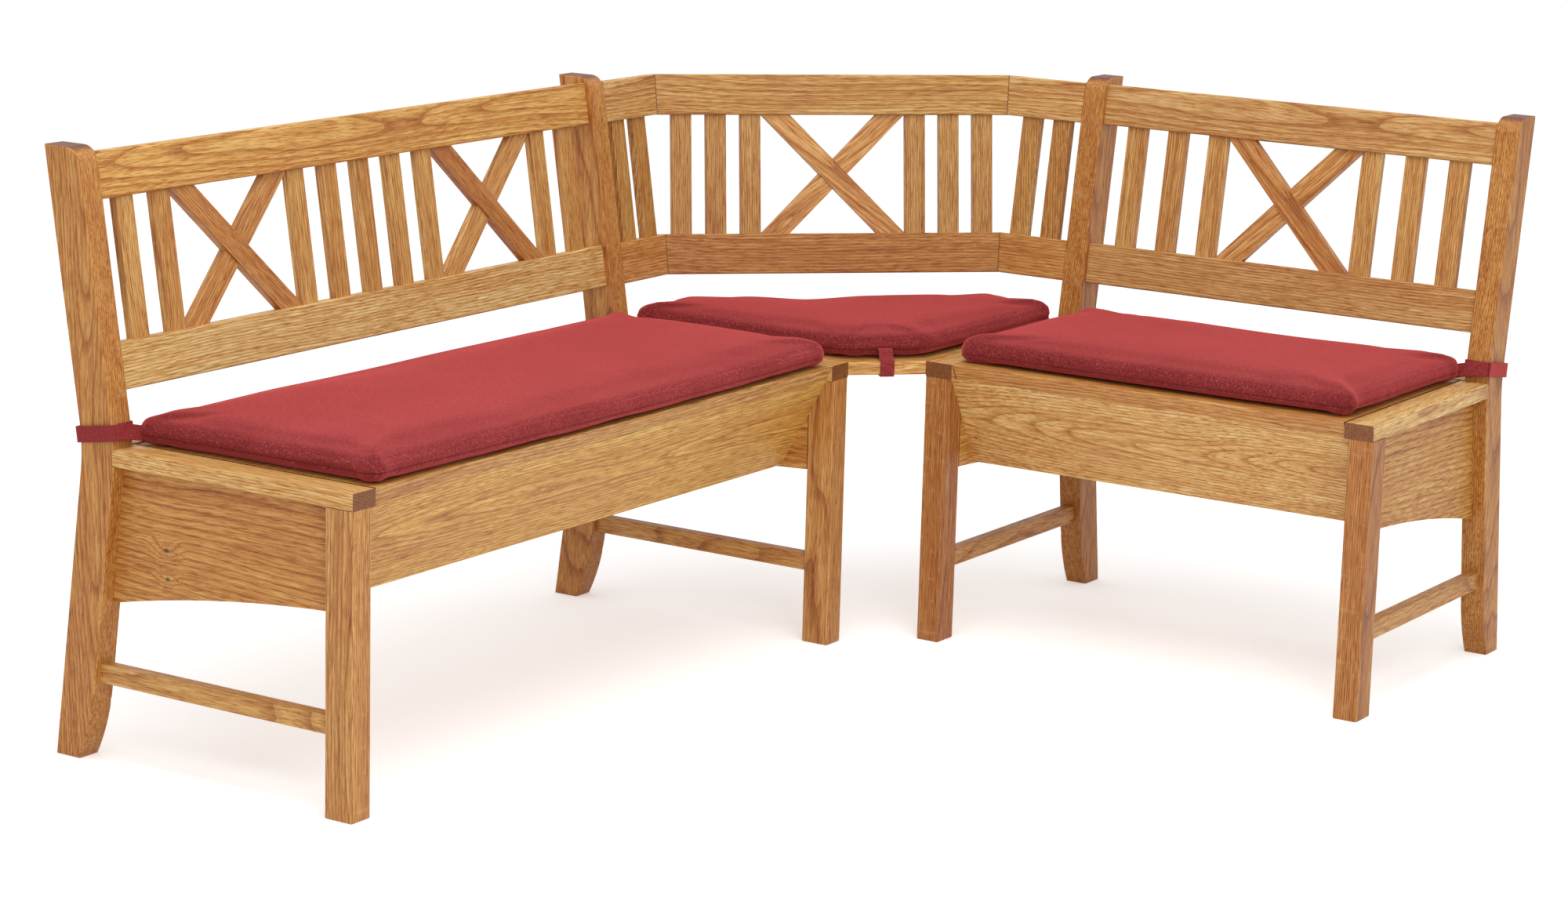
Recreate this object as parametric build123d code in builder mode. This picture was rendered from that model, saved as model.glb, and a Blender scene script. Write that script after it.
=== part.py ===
"""Corner bench: two chest benches with lifting seats, a corner seat and three seat cushions.

All sizes are millimetres and +Z is up. X runs along the short bench, Y along the long bench,
and the origin is on the floor under the middle of the whole bench.
"""

import os
from math import cos, radians, sin, sqrt, tan

from build123d import *

os.makedirs("parts", exist_ok=True)

# Driving sizes of the whole bench
LONG_LENGTH = 1240.0  # the left bench, over its legs
SHORT_LENGTH = 785.0  # the right bench, over its legs
BENCH_HEIGHT = 880.0
SEAT_HEIGHT = 462.0
BACK_DEPTH = 428.0  # leg front to the front of the backrest, at the knee of the posts
CORNER_GAP = 91.0  # each way from one bench's last leg to the other bench's first leg

# End frames
LEG_WIDTH = 40.0
LEG_DEPTH = 48.0
POST_DEPTH = 62.0
KNEE_DROP = 4.0  # knee of the posts below the top of the seat
KNEE_RADIUS = 260.0
BACK_RAKE = 8.8  # lean of the backrest, in degrees
FOOT_SPLAY = 7.1  # lean of the post below the seat, in degrees
FOOT_RISE = 100.0  # height where the sabre foot begins
FOOT_DEPTH = 44.0  # depth of the foot on the floor
CROWN_RADIUS = 26.0  # rounded front corner on top of each post
END_RAIL_WIDTH = 48.0
SEAT_THICK = 25.0
HOUSING_DEEP = 5.0  # the end rail runs this far past the knee's front line, let into the post
PANEL_THICK = 17.0
PANEL_FRONT_RISE = 286.0  # lower edge of a side panel at the leg
PANEL_BACK_RISE = 233.0  # lower edge of a side panel at the post
PANEL_ARCH = 9.0  # how far the lower edge bows up from a straight line
STRETCHER_FOOT = 116.0
STRETCHER_TALL = 28.0
STRETCHER_THICK = 20.0
EASE = 2.5  # rounding of the wooden edges

# Chest
FRONT_TOP_DEPTH = 13.0  # slanted front board under the lid's front edge
FRONT_FOOT_DEPTH = 98.0
FRONT_THICK = 18.0
FLOOR_HEIGHT = 296.0
FLOOR_THICK = 10.0
BACK_BOARD_SET = 22.0  # behind the knee's front line
BACK_BOARD_THICK = 12.0
BACK_BOARD_FOOT = 288.0
HINGE_RAIL_MARGIN = 2.0  # in front of the post's back
LID_SIDE_GAP = 2.0
BATTEN_WIDTH = 42.0
BATTEN_THICK = 20.0
BATTEN_FRONT = 75.0
BATTEN_BACK_GAP = 37.0  # batten's rear end to the lid's back edge

# Lid hinges
HINGE_SET = 8.0  # axis behind the knee's front line
HINGE_DROP = 5.0  # axis below the top of the seat
HINGE_GAP = 8.0
HINGE_WIDTH = 60.0
HINGE_END = 150.0  # first hinge, from the end of the bench
KNUCKLE_RADIUS = 3.5
PIN_RADIUS = 1.75
PIN_PLAY = 0.05
LEAF_THICK = 1.6
LEAF_TALL = 15.0
KNUCKLE_PLAY = 0.2

# Backrests, measured up the rake from the knee
RAIL_TALL = 68.0
LOWER_RAIL_FOOT = 80.5
TOP_MARGIN = 9.5  # upper rail to the top of the posts
RAIL_THICK = 26.0
BENCH_RAIL_INSET = 10.0  # behind the front of the posts
WING_RAIL_INSET = 2.5
SLAT_WIDTH = 35.0
SLAT_THICK = 14.0
SLAT_INSET = 6.0  # behind the front of the rails
SLAT_EASE = 1.0
BENCH_PITCH = 76.0
CORNER_PITCH = 59.5
LONG_END_GAP = 41.5  # post to the first slat
SHORT_END_GAP = 43.5
WING_END_GAP = 22.0
BAR_CUT = 49.0  # length of a cross bar's end along the rail
BAR_GAP = 1.5  # cross bar to the slat beside it
BAR_INSET = 5.0
BAR_STEP = 3.0  # the crossing bar behind stands this much further back

# Corner seat
CORNER_SETBACK = 39.5  # the middle of the backrest stands this much nearer to the seat's front edge
CORNER_SEAT_THICK = 22.0
CORNER_SEAT_SET = 8.0  # back edge behind the knee's front line
CORNER_SEAT_GAP = 0.5
CORNER_BAY = 252.0  # free width for the cross
CORNER_BATTEN = (22.0, 28.0)  # width and height
CORNER_BATTEN_FRONT = 150.0
CORNER_BATTEN_SET = 47.0  # rear end behind the knee's front line

# Cushions and their straps
CUSHION_TALL = 44.0
CUSHION_SIDE = 52.0  # from the outer face of the bench's end
LONG_CUSHION_FRONT = 4.0
SHORT_CUSHION_FRONT = 24.0
CUSHION_BACK_GAP = 2.0  # rear corners in front of the knee's front line
CUSHION_BOW = 0.011  # swell of each side, as a share of its length
CORNER_CUSHION_FRONT = 18.0
CORNER_CUSHION_SIDE = 8.0
CUSHION_CORNER = 34.0
CUSHION_NOSE = 80.0  # rounding of the corner cushion's front
CUSHION_TIP = 22.0  # rounding of its other corners
SOFT_GAP = 0.3
# height above the seat as a share of the thickness, then how far the outline is drawn in
CUSHION_LEVELS = ((0.0, 12.0), (0.36, 0.0), (0.72, 2.0), (0.93, 14.0), (1.0, 42.0))
CUSHION_TAPER = 76.0  # drawing in by this much would take the corner rounding to nothing
STRAP_WIDTH = 23.0
STRAP_THICK = 2.5
STRAP_RISE = 28.0  # middle of the post straps, up the rake from the knee
STRAP_SLACK = 2.2  # room behind the post, where the knee's rounding swells
CORNER_STRAP_UNDER = 55.0

# Sizes that follow
RAKE = radians(BACK_RAKE)
SPLAY = radians(FOOT_SPLAY)
MITRE = radians(22.5)
LEG_TALL = SEAT_HEIGHT - SEAT_THICK
KNEE_HEIGHT = SEAT_HEIGHT - KNEE_DROP
UPPER_RAIL_FOOT = (BENCH_HEIGHT - KNEE_HEIGHT) / cos(RAKE) - TOP_MARGIN - RAIL_TALL
POST_REACH = BACK_DEPTH + POST_DEPTH + (BENCH_HEIGHT - KNEE_HEIGHT) * tan(RAKE)
HINGE_HEIGHT = SEAT_HEIGHT - HINGE_DROP
HINGE_DEPTH = BACK_DEPTH + HINGE_SET
LID_BACK = HINGE_DEPTH - HINGE_GAP / 2
RAIL_HOUSING = BACK_DEPTH + HOUSING_DEEP
BACK_BOARD_DEPTH = BACK_DEPTH + BACK_BOARD_SET
HINGE_RAIL_BACK = BACK_DEPTH + POST_DEPTH - HINGE_RAIL_MARGIN
CUSHION_BACK = BACK_DEPTH - CUSHION_BACK_GAP
STRAP_OUT = SOFT_GAP + STRAP_THICK
OVERALL_X = POST_REACH + CORNER_GAP + SHORT_LENGTH + STRAP_OUT
OVERALL_Y = STRAP_OUT + LONG_LENGTH + CORNER_GAP + POST_REACH
LEFT_FRONT_X = POST_REACH - OVERALL_X / 2
LEFT_START_Y = STRAP_OUT - OVERALL_Y / 2


class Station:
    """Frame of one run of seating: x along it, y back from the front of its legs, z up."""

    def __init__(self, name, origin, along, length=0.0, back_depth=BACK_DEPTH):
        self.name = name
        self.length = length
        self.back_depth = back_depth
        self.floor = Plane(origin=origin, x_dir=along, z_dir=(0, 0, 1))
        self.along_axis = Axis((0, 0, 0), tuple(self.floor.x_dir))
        self.depth_axis = Axis((0, 0, 0), tuple(self.floor.y_dir))

    def point(self, along, back, height=0.0):
        """A place in the room from its place in this run."""
        return self.floor.from_local_coords((along, back, height))

    def end_view(self, along):
        """Sketch plane square to the run: x goes back, y goes up, and it faces along."""
        return Plane(self.point(along, 0), x_dir=self.floor.y_dir, z_dir=self.floor.x_dir)

    def level(self, height):
        """Sketch plane parallel to the floor: x goes along and y goes back."""
        return self.floor.offset(height)

    def rake_up(self):
        """Direction up the leaning face of the backrest."""
        return self.floor.y_dir * sin(RAKE) + Vector(0, 0, cos(RAKE))

    def back_view(self, inset):
        """Sketch plane in the leaning face of the backrest: x goes along and y up the rake."""
        facing = self.floor.y_dir * -cos(RAKE) + Vector(0, 0, sin(RAKE))
        start = self.point(0, self.back_depth + inset, KNEE_HEIGHT)
        return Plane(start, x_dir=self.floor.x_dir, z_dir=facing)


LEFT = Station("left", (LEFT_FRONT_X, LEFT_START_Y, 0), (0, 1, 0), LONG_LENGTH)
RIGHT = Station(
    "right",
    (LEFT_FRONT_X + CORNER_GAP, LEFT_START_Y + LONG_LENGTH + CORNER_GAP, 0),
    (1, 0, 0),
    SHORT_LENGTH,
)
CORNER = Station(
    "corner",
    (LEFT_FRONT_X + CORNER_GAP / 2, LEFT_START_Y + LONG_LENGTH + CORNER_GAP / 2, 0),
    (1, 1, 0),
    back_depth=BACK_DEPTH - CORNER_SETBACK,
)


def save(piece, name):
    """Label one piece and write it to its own file."""
    piece.label = name
    export_step(piece, f"parts/{name}.step")


def post_front(height):
    """Depth of the post's front edge below the knee, on its straight stretch."""
    return BACK_DEPTH + (KNEE_HEIGHT - height) * tan(SPLAY)


def chest_front(height):
    """Depth of the slanted front board's outer face."""
    share = (LEG_TALL - height) / (LEG_TALL - PANEL_FRONT_RISE)
    return FRONT_TOP_DEPTH + share * (FRONT_FOOT_DEPTH - FRONT_TOP_DEPTH)


def mitre_along(back):
    """How far past the bench the mitre between wing and middle lies, at this depth."""
    return back * (sqrt(2) - 1) - CORNER_SETBACK * sqrt(2)


# Depth of the slanted front board, measured level
FRONT_SLICE = FRONT_THICK * sqrt(
    1 + ((FRONT_FOOT_DEPTH - FRONT_TOP_DEPTH) / (LEG_TALL - PANEL_FRONT_RISE)) ** 2
)


def make_post(bench, start):
    """Back post: sabre foot, a soft knee at the seat and a raked upper length."""
    toe = (POST_DEPTH + post_front(0) - FOOT_DEPTH, 0)
    heel = (POST_DEPTH + post_front(0), 0)
    spring = (post_front(FOOT_RISE), FOOT_RISE)
    front_knee = (BACK_DEPTH, KNEE_HEIGHT)
    back_knee = (BACK_DEPTH + POST_DEPTH, KNEE_HEIGHT)
    back_top = (POST_REACH, BENCH_HEIGHT)
    front_top = (POST_REACH - POST_DEPTH, BENCH_HEIGHT)
    with BuildPart() as post:
        with BuildSketch(bench.end_view(start)) as outline:
            with BuildLine():
                shin = Line(front_knee, spring)
                TangentArc(shin @ 1, toe, tangent=shin % 1)
                Polyline(toe, heel, back_knee, back_top, front_top, front_knee)
            make_face()
            for knee in (front_knee, back_knee):
                fillet(outline.vertices().sort_by_distance(knee)[0], radius=KNEE_RADIUS)
            fillet(outline.vertices().sort_by_distance(front_top)[0], radius=CROWN_RADIUS)
        extrude(amount=LEG_WIDTH)
        sides = post.faces().filter_by(bench.along_axis)
        fillet(sides.edges(), radius=EASE)
        with BuildSketch(bench.end_view(start)):
            with Locations((RAIL_HOUSING, LEG_TALL)):
                Rectangle(POST_DEPTH, SEAT_THICK, align=(Align.MAX, Align.MIN))
        extrude(amount=LEG_WIDTH, mode=Mode.SUBTRACT)
    return post.part


def make_leg(bench, start):
    """Front leg: a straight square-cut post under the end rail."""
    with BuildPart() as leg:
        with BuildSketch(bench.level(0)):
            with Locations((start, 0)):
                Rectangle(LEG_WIDTH, LEG_DEPTH, align=(Align.MIN, Align.MIN))
        extrude(amount=LEG_TALL)
        fillet(leg.edges().filter_by(Axis.Z), radius=EASE)
        chamfer(leg.faces().sort_by(Axis.Z)[0].edges(), length=EASE / 2)
    return leg.part


def make_end_rail(bench, start):
    """End rail: lies on the leg, flush with the lid, and is let into the post behind."""
    with BuildPart() as rail:
        with BuildSketch(bench.level(LEG_TALL)):
            with Locations((start, 0)):
                Rectangle(END_RAIL_WIDTH, RAIL_HOUSING, align=(Align.MIN, Align.MIN))
        extrude(amount=SEAT_THICK)
        fillet(rail.edges().filter_by(bench.depth_axis), radius=EASE)
    return rail.part


def make_side_panels(bench, starts):
    """Side panels: close the chest between leg and post, each with an arched lower edge."""
    rear_top = (post_front(LEG_TALL), LEG_TALL)
    rear_foot = (post_front(PANEL_BACK_RISE), PANEL_BACK_RISE)
    front_foot = (LEG_DEPTH, PANEL_FRONT_RISE)
    crown = ((rear_foot[0] + front_foot[0]) / 2, (rear_foot[1] + front_foot[1]) / 2 + PANEL_ARCH)
    with BuildPart() as panels:
        for start in starts:
            with BuildSketch(bench.end_view(start)):
                with BuildLine():
                    Polyline(front_foot, (LEG_DEPTH, LEG_TALL), rear_top, rear_foot)
                    ThreePointArc(rear_foot, crown, front_foot)
                make_face()
            extrude(amount=PANEL_THICK)
    return panels.part


def make_stretchers(bench, starts):
    """Stretchers: tie each leg to its post near the floor, the rear end cut to the splay."""
    top = STRETCHER_FOOT + STRETCHER_TALL
    outline = (
        (LEG_DEPTH, STRETCHER_FOOT),
        (post_front(STRETCHER_FOOT), STRETCHER_FOOT),
        (post_front(top), top),
        (LEG_DEPTH, top),
    )
    with BuildPart() as stretchers:
        for start in starts:
            with BuildSketch(bench.end_view(start)):
                Polygon(*outline, align=None)
            extrude(amount=STRETCHER_THICK)
        fillet(stretchers.edges().filter_by(bench.depth_axis), radius=EASE / 2)
    return stretchers.part


def make_chest_board(bench, outline):
    """A chest board: an outline seen from the end, run between the two end frames."""
    with BuildPart() as board:
        with BuildSketch(bench.end_view(LEG_WIDTH)):
            Polygon(*outline, align=None)
        extrude(amount=bench.length - 2 * LEG_WIDTH)
    return board.part


def make_lid(bench):
    """Lifting seat: a board between the end rails, its front edge bevelled in line with the chest."""
    side = END_RAIL_WIDTH + LID_SIDE_GAP
    outline = (
        (0, SEAT_HEIGHT),
        (FRONT_TOP_DEPTH, LEG_TALL),
        (LID_BACK, LEG_TALL),
        (LID_BACK, SEAT_HEIGHT),
    )
    with BuildPart() as lid:
        with BuildSketch(bench.end_view(side)):
            Polygon(*outline, align=None)
        extrude(amount=bench.length - 2 * side)
        fillet(lid.edges().filter_by(bench.along_axis), radius=EASE / 2)
    return lid.part


def make_battens(bench, centres):
    """Battens under the lid that keep the board flat, with sloped ends."""
    batten_back = LID_BACK - BATTEN_BACK_GAP
    middle = (BATTEN_FRONT + batten_back) / 2
    with BuildPart() as battens:
        for centre in centres:
            with BuildSketch(bench.level(LEG_TALL)):
                with Locations((centre, middle)):
                    Rectangle(BATTEN_WIDTH, batten_back - BATTEN_FRONT)
            extrude(amount=-BATTEN_THICK)
        under = battens.faces().filter_by(Axis.Z).group_by(Axis.Z)[0]
        ends = under.edges().filter_by(bench.along_axis)
        chamfer(ends, length=BATTEN_THICK / 2)
    return battens.part


def hinge_centres(bench):
    """Hinges near both ends, and one in the middle of the long lid."""
    ends = [HINGE_END, bench.length - HINGE_END]
    if bench.length > LONG_LENGTH * 0.8:
        ends.insert(1, bench.length / 2)
    return ends


def make_hinge_leaves(benches, plate_back, knuckles):
    """Hinge leaves: a plate on a wooden edge, with curled knuckles round the axis."""
    foot = HINGE_HEIGHT - KNUCKLE_RADIUS - LEAF_TALL
    centre_foot = (Align.CENTER, Align.MIN)
    with BuildPart() as leaves:
        for bench, centre in hinge_places(benches):
            with BuildSketch(bench.end_view(centre - HINGE_WIDTH / 2)):
                with Locations((plate_back, foot)):
                    Rectangle(LEAF_THICK, LEAF_TALL - KNUCKLE_PLAY, align=centre_foot)
            extrude(amount=HINGE_WIDTH)
            for start, length in knuckles:
                with BuildSketch(bench.end_view(centre + start)):
                    with Locations((plate_back, foot)):
                        Rectangle(LEAF_THICK, LEAF_TALL + KNUCKLE_RADIUS, align=centre_foot)
                    with Locations((HINGE_DEPTH, HINGE_HEIGHT)):
                        Circle(KNUCKLE_RADIUS)
                        Circle(PIN_RADIUS + PIN_PLAY, mode=Mode.SUBTRACT)
                extrude(amount=length)
    return leaves.part


def hinge_places(benches):
    """Every hinge of these benches, as the bench and the place along it."""
    return [(bench, centre) for bench in benches for centre in hinge_centres(bench)]


def make_pins(benches):
    """Hinge pins, one through each set of knuckles."""
    with BuildPart() as pins:
        for bench, centre in hinge_places(benches):
            with BuildSketch(bench.end_view(centre - HINGE_WIDTH / 2)):
                with Locations((HINGE_DEPTH, HINGE_HEIGHT)):
                    Circle(PIN_RADIUS)
            extrude(amount=HINGE_WIDTH)
    return pins.part


def make_rail(view, axis, start, end, foot, cuts=()):
    """Backrest rail: a board in the leaning face, mitred by any cutting planes given."""
    with BuildPart() as rail:
        with BuildSketch(view):
            with Locations(((start + end) / 2, foot + RAIL_TALL / 2)):
                Rectangle(end - start, RAIL_TALL)
        extrude(amount=-RAIL_THICK)
        fillet(rail.edges().filter_by(axis), radius=EASE)
        for plane, keep in cuts:
            split(bisect_by=plane, keep=keep)
    return rail.part


def make_slats(rows):
    """Upright slats between the two rails, for each run's view and places along it."""
    foot = LOWER_RAIL_FOOT + RAIL_TALL
    tall = UPPER_RAIL_FOOT - foot
    with BuildPart() as slats:
        for station, view, centres in rows:
            with BuildSketch(view.offset(-SLAT_INSET)):
                with Locations(*((centre, foot + tall / 2) for centre in centres)):
                    Rectangle(SLAT_WIDTH, tall)
            extrude(amount=-SLAT_THICK)
            up = Axis((0, 0, 0), tuple(station.rake_up()))
            chamfer(slats.edges(Select.LAST).filter_by(up), length=SLAT_EASE)
    return slats.part


def bar_outline(bay, rising):
    """A cross bar from corner to corner of its bay, with ends cut along the rails."""
    start, end = bay[0] + BAR_GAP, bay[1] - BAR_GAP
    foot, top = LOWER_RAIL_FOOT + RAIL_TALL, UPPER_RAIL_FOOT
    low, high = (foot, top) if rising else (top, foot)
    return (start, low), (start + BAR_CUT, low), (end, high), (end - BAR_CUT, high)


def make_cross_bars(view, bays, front):
    """Cross bars of one slope, halved where they cross the bars of the other slope."""
    lap = (BAR_INSET + BAR_STEP + BAR_INSET + SLAT_THICK) / 2
    inset = BAR_INSET if front else BAR_INSET + BAR_STEP
    with BuildPart() as bars:
        for bay in bays:
            with BuildSketch(view.offset(-inset)):
                Polygon(*bar_outline(bay, rising=not front), align=None)
            extrude(amount=-SLAT_THICK)
        for bay in bays:
            with BuildSketch(view.offset(-lap)):
                Polygon(*bar_outline(bay, rising=front), align=None)
            extrude(amount=-SLAT_THICK if front else SLAT_THICK, mode=Mode.SUBTRACT)
    return bars.part


def make_cushion(outline_at, roundings):
    """Seat cushion: flat underneath, full at the seam, drawn in above it and crowned on top."""
    base = SEAT_HEIGHT + SOFT_GAP
    with BuildPart() as cushion:
        for share, draw_in in CUSHION_LEVELS:
            corners = [Vector(*corner) for corner in outline_at(draw_in)]
            with BuildSketch(Plane.XY.offset(base + share * CUSHION_TALL)) as ring:
                with BuildLine():
                    for here, there in zip(corners, corners[1:] + corners[:1]):
                        side = there - here
                        outward = Vector(side.Y, -side.X) * CUSHION_BOW
                        ThreePointArc(here, (here + there) * 0.5 + outward, there)
                make_face()
                for corner, rounding in zip(corners, roundings):
                    vertex = ring.vertices().sort_by_distance(corner)[0]
                    fillet(vertex, radius=rounding * (1 - draw_in / CUSHION_TAPER))
        loft()
    return cushion.part


def bench_outline_at(bench, front):
    """Outline of a bench cushion, drawn in by any amount from the end rails and the front."""

    def outline(draw_in):
        start, end = CUSHION_SIDE + draw_in, bench.length - CUSHION_SIDE - draw_in
        near, rear = front + draw_in, CUSHION_BACK - draw_in
        corners = ((start, near), (end, near), (end, rear), (start, rear))
        return [flat(bench.point(along, back)) for along, back in corners]

    return outline


def corner_cushion_at(draw_in):
    """Outline of the corner cushion, drawn in by any amount."""
    side, front = CORNER_CUSHION_SIDE + draw_in, CORNER_CUSHION_FRONT + draw_in
    return corner_outline(side, front, CUSHION_BACK - draw_in)


def corner_outline(side, front, back):
    """Outline of the corner seat or its cushion, clear of the two end rails by side."""
    nose = front * sqrt(2) - side
    wing = mitre_along(back)
    return [
        flat(LEFT.point(LONG_LENGTH + side, nose)),
        flat(RIGHT.point(-side, nose)),
        flat(RIGHT.point(-side, back)),
        flat(RIGHT.point(-wing, back)),
        flat(LEFT.point(LONG_LENGTH + wing, back)),
        flat(LEFT.point(LONG_LENGTH + side, back)),
    ]


def flat(point):
    """Plan position of a point."""
    return point.X, point.Y


def make_post_strap(bench, start):
    """Hook-and-loop strap closed round an end post above the seat."""
    origin = bench.point(start, BACK_DEPTH, KNEE_HEIGHT) + bench.rake_up() * STRAP_RISE
    square_depth = POST_DEPTH * cos(RAKE) + STRAP_SLACK
    around = Plane(origin, x_dir=bench.floor.x_dir, z_dir=bench.rake_up())
    with BuildPart() as strap:
        with BuildSketch(around):
            with Locations((LEG_WIDTH / 2, square_depth / 2)):
                RectangleRounded(LEG_WIDTH + 2 * STRAP_OUT, square_depth + 2 * STRAP_OUT, EASE)
                Rectangle(
                    LEG_WIDTH + 2 * SOFT_GAP, square_depth + 2 * SOFT_GAP, mode=Mode.SUBTRACT
                )
        extrude(amount=STRAP_WIDTH / 2, both=True)
    return strap.part


def make_corner_strap():
    """Strap from the corner cushion's nose, down over the seat's front edge and under it."""
    top = SEAT_HEIGHT + SOFT_GAP
    under = SEAT_HEIGHT - CORNER_SEAT_THICK - SOFT_GAP
    outline = (
        (CORNER_CUSHION_FRONT / 2, top),
        (-SOFT_GAP, top),
        (-SOFT_GAP, under),
        (CORNER_STRAP_UNDER, under),
        (CORNER_STRAP_UNDER, under - STRAP_THICK),
        (-STRAP_OUT, under - STRAP_THICK),
        (-STRAP_OUT, top + STRAP_THICK),
        (CORNER_CUSHION_FRONT / 2, top + STRAP_THICK),
    )
    with BuildPart() as strap:
        with BuildSketch(CORNER.end_view(-STRAP_WIDTH / 2)):
            Polygon(*outline, align=None)
        extrude(amount=STRAP_WIDTH)
    return strap.part


# End frames, chest and lid of each bench
FLOOR_TOP = FLOOR_HEIGHT + FLOOR_THICK
FRONT_BOARD = (
    (FRONT_TOP_DEPTH, LEG_TALL),
    (FRONT_TOP_DEPTH + FRONT_SLICE, LEG_TALL),
    (FRONT_FOOT_DEPTH + FRONT_SLICE, PANEL_FRONT_RISE),
    (FRONT_FOOT_DEPTH, PANEL_FRONT_RISE),
)
FLOOR_BOARD = (
    (chest_front(FLOOR_HEIGHT) + FRONT_SLICE, FLOOR_HEIGHT),
    (BACK_BOARD_DEPTH, FLOOR_HEIGHT),
    (BACK_BOARD_DEPTH, FLOOR_TOP),
    (chest_front(FLOOR_TOP) + FRONT_SLICE, FLOOR_TOP),
)
BACK_BOARD = (
    (BACK_BOARD_DEPTH, BACK_BOARD_FOOT),
    (BACK_BOARD_DEPTH + BACK_BOARD_THICK, BACK_BOARD_FOOT),
    (BACK_BOARD_DEPTH + BACK_BOARD_THICK, LEG_TALL),
    (BACK_BOARD_DEPTH, LEG_TALL),
)
HINGE_RAIL = (
    (HINGE_DEPTH + HINGE_GAP / 2, LEG_TALL),
    (HINGE_RAIL_BACK, LEG_TALL),
    (HINGE_RAIL_BACK, SEAT_HEIGHT),
    (HINGE_DEPTH + HINGE_GAP / 2, SEAT_HEIGHT),
)
CHEST_BOARDS = {
    "front_panel": FRONT_BOARD,
    "chest_floor": FLOOR_BOARD,
    "chest_back": BACK_BOARD,
    "hinge_rail": HINGE_RAIL,
}

THIRD = HINGE_WIDTH / 3
LID_KNUCKLE = [(-THIRD / 2 + KNUCKLE_PLAY, THIRD - 2 * KNUCKLE_PLAY)]
RAIL_KNUCKLES = [(-HINGE_WIDTH / 2, THIRD), (THIRD / 2, THIRD)]
LID_PLATE = LID_BACK + LEAF_THICK / 2
RAIL_PLATE = HINGE_DEPTH + HINGE_GAP / 2 - LEAF_THICK / 2

for bench in (LEFT, RIGHT):
    far = bench.length - LEG_WIDTH
    for end, start, rail_start in (("start", 0, 0), ("far", far, bench.length - END_RAIL_WIDTH)):
        save(make_leg(bench, start), f"{bench.name}_leg_{end}")
        save(make_post(bench, start), f"{bench.name}_post_{end}")
        save(make_end_rail(bench, rail_start), f"{bench.name}_end_rail_{end}")
    save(make_side_panels(bench, (LEG_WIDTH - PANEL_THICK, far)), f"{bench.name}_side_panels")
    stretcher_set = (LEG_WIDTH - STRETCHER_THICK) / 2
    stretchers = make_stretchers(bench, (stretcher_set, far + stretcher_set))
    save(stretchers, f"{bench.name}_stretchers")
    for name, outline in CHEST_BOARDS.items():
        save(make_chest_board(bench, outline), f"{bench.name}_{name}")
    save(make_lid(bench), f"{bench.name}_lid")
    save(make_battens(bench, hinge_centres(bench)), f"{bench.name}_lid_battens")
    leaves = make_hinge_leaves([bench], LID_PLATE, LID_KNUCKLE)
    save(leaves, f"{bench.name}_lid_hinge_leaves")
save(make_hinge_leaves([LEFT, RIGHT], RAIL_PLATE, RAIL_KNUCKLES), "rail_hinge_leaves")
save(make_pins([LEFT, RIGHT]), "hinge_pins")

# Backrests of the two benches
LEFT_MIDDLE = LONG_LENGTH / 2
LEFT_OUTER = LEG_WIDTH + LONG_END_GAP + SLAT_WIDTH / 2
LEFT_OUTER_PAIR = [LEFT_OUTER, LEFT_OUTER + BENCH_PITCH]
LEFT_SLATS = (
    LEFT_OUTER_PAIR
    + [LEFT_MIDDLE + step * BENCH_PITCH for step in (-2, -1, 0, 1, 2)]
    + [LONG_LENGTH - place for place in LEFT_OUTER_PAIR]
)
LEFT_BAY = (
    LEFT_OUTER + BENCH_PITCH + SLAT_WIDTH / 2,
    LEFT_MIDDLE - 2 * BENCH_PITCH - SLAT_WIDTH / 2,
)
LEFT_BAYS = (LEFT_BAY, (LONG_LENGTH - LEFT_BAY[1], LONG_LENGTH - LEFT_BAY[0]))
RIGHT_OUTER = LEG_WIDTH + SHORT_END_GAP + SLAT_WIDTH / 2
RIGHT_TRIO = [RIGHT_OUTER + step * BENCH_PITCH for step in (0, 1, 2)]
RIGHT_SLATS = RIGHT_TRIO + [SHORT_LENGTH - place for place in RIGHT_TRIO]
RIGHT_BAY_START = RIGHT_TRIO[2] + SLAT_WIDTH / 2
RIGHT_BAYS = ((RIGHT_BAY_START, SHORT_LENGTH - RIGHT_BAY_START),)

for bench, slats, bays in ((LEFT, LEFT_SLATS, LEFT_BAYS), (RIGHT, RIGHT_SLATS, RIGHT_BAYS)):
    view = bench.back_view(BENCH_RAIL_INSET)
    for level, foot in (("lower", LOWER_RAIL_FOOT), ("upper", UPPER_RAIL_FOOT)):
        rail = make_rail(view, bench.along_axis, LEG_WIDTH, bench.length - LEG_WIDTH, foot)
        save(rail, f"{bench.name}_{level}_rail")
    save(make_slats([(bench, view, slats)]), f"{bench.name}_slats")
    save(make_cross_bars(view, bays, front=True), f"{bench.name}_cross_front")
    save(make_cross_bars(view, bays, front=False), f"{bench.name}_cross_back")

# Corner backrest: two short wings and a middle, mitred where they meet
MITRE_START = mitre_along(BACK_DEPTH)
LEFT_MITRE = Plane(
    LEFT.point(LONG_LENGTH + MITRE_START, BACK_DEPTH),
    z_dir=LEFT.floor.x_dir * -cos(MITRE) + LEFT.floor.y_dir * sin(MITRE),
)
RIGHT_MITRE = Plane(
    RIGHT.point(-MITRE_START, BACK_DEPTH),
    z_dir=RIGHT.floor.x_dir * cos(MITRE) + RIGHT.floor.y_dir * sin(MITRE),
)
WING_REACH = mitre_along(POST_REACH)
WING_FIRST = WING_END_GAP + SLAT_WIDTH / 2
WING_SLATS = [WING_FIRST, WING_FIRST + CORNER_PITCH]
MIDDLE_HALF = CORNER_BAY / 2 + SLAT_WIDTH / 2 + 3 * CORNER_PITCH
MIDDLE_TRIO = [CORNER_BAY / 2 + SLAT_WIDTH / 2 + step * CORNER_PITCH for step in (0, 1, 2)]
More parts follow.
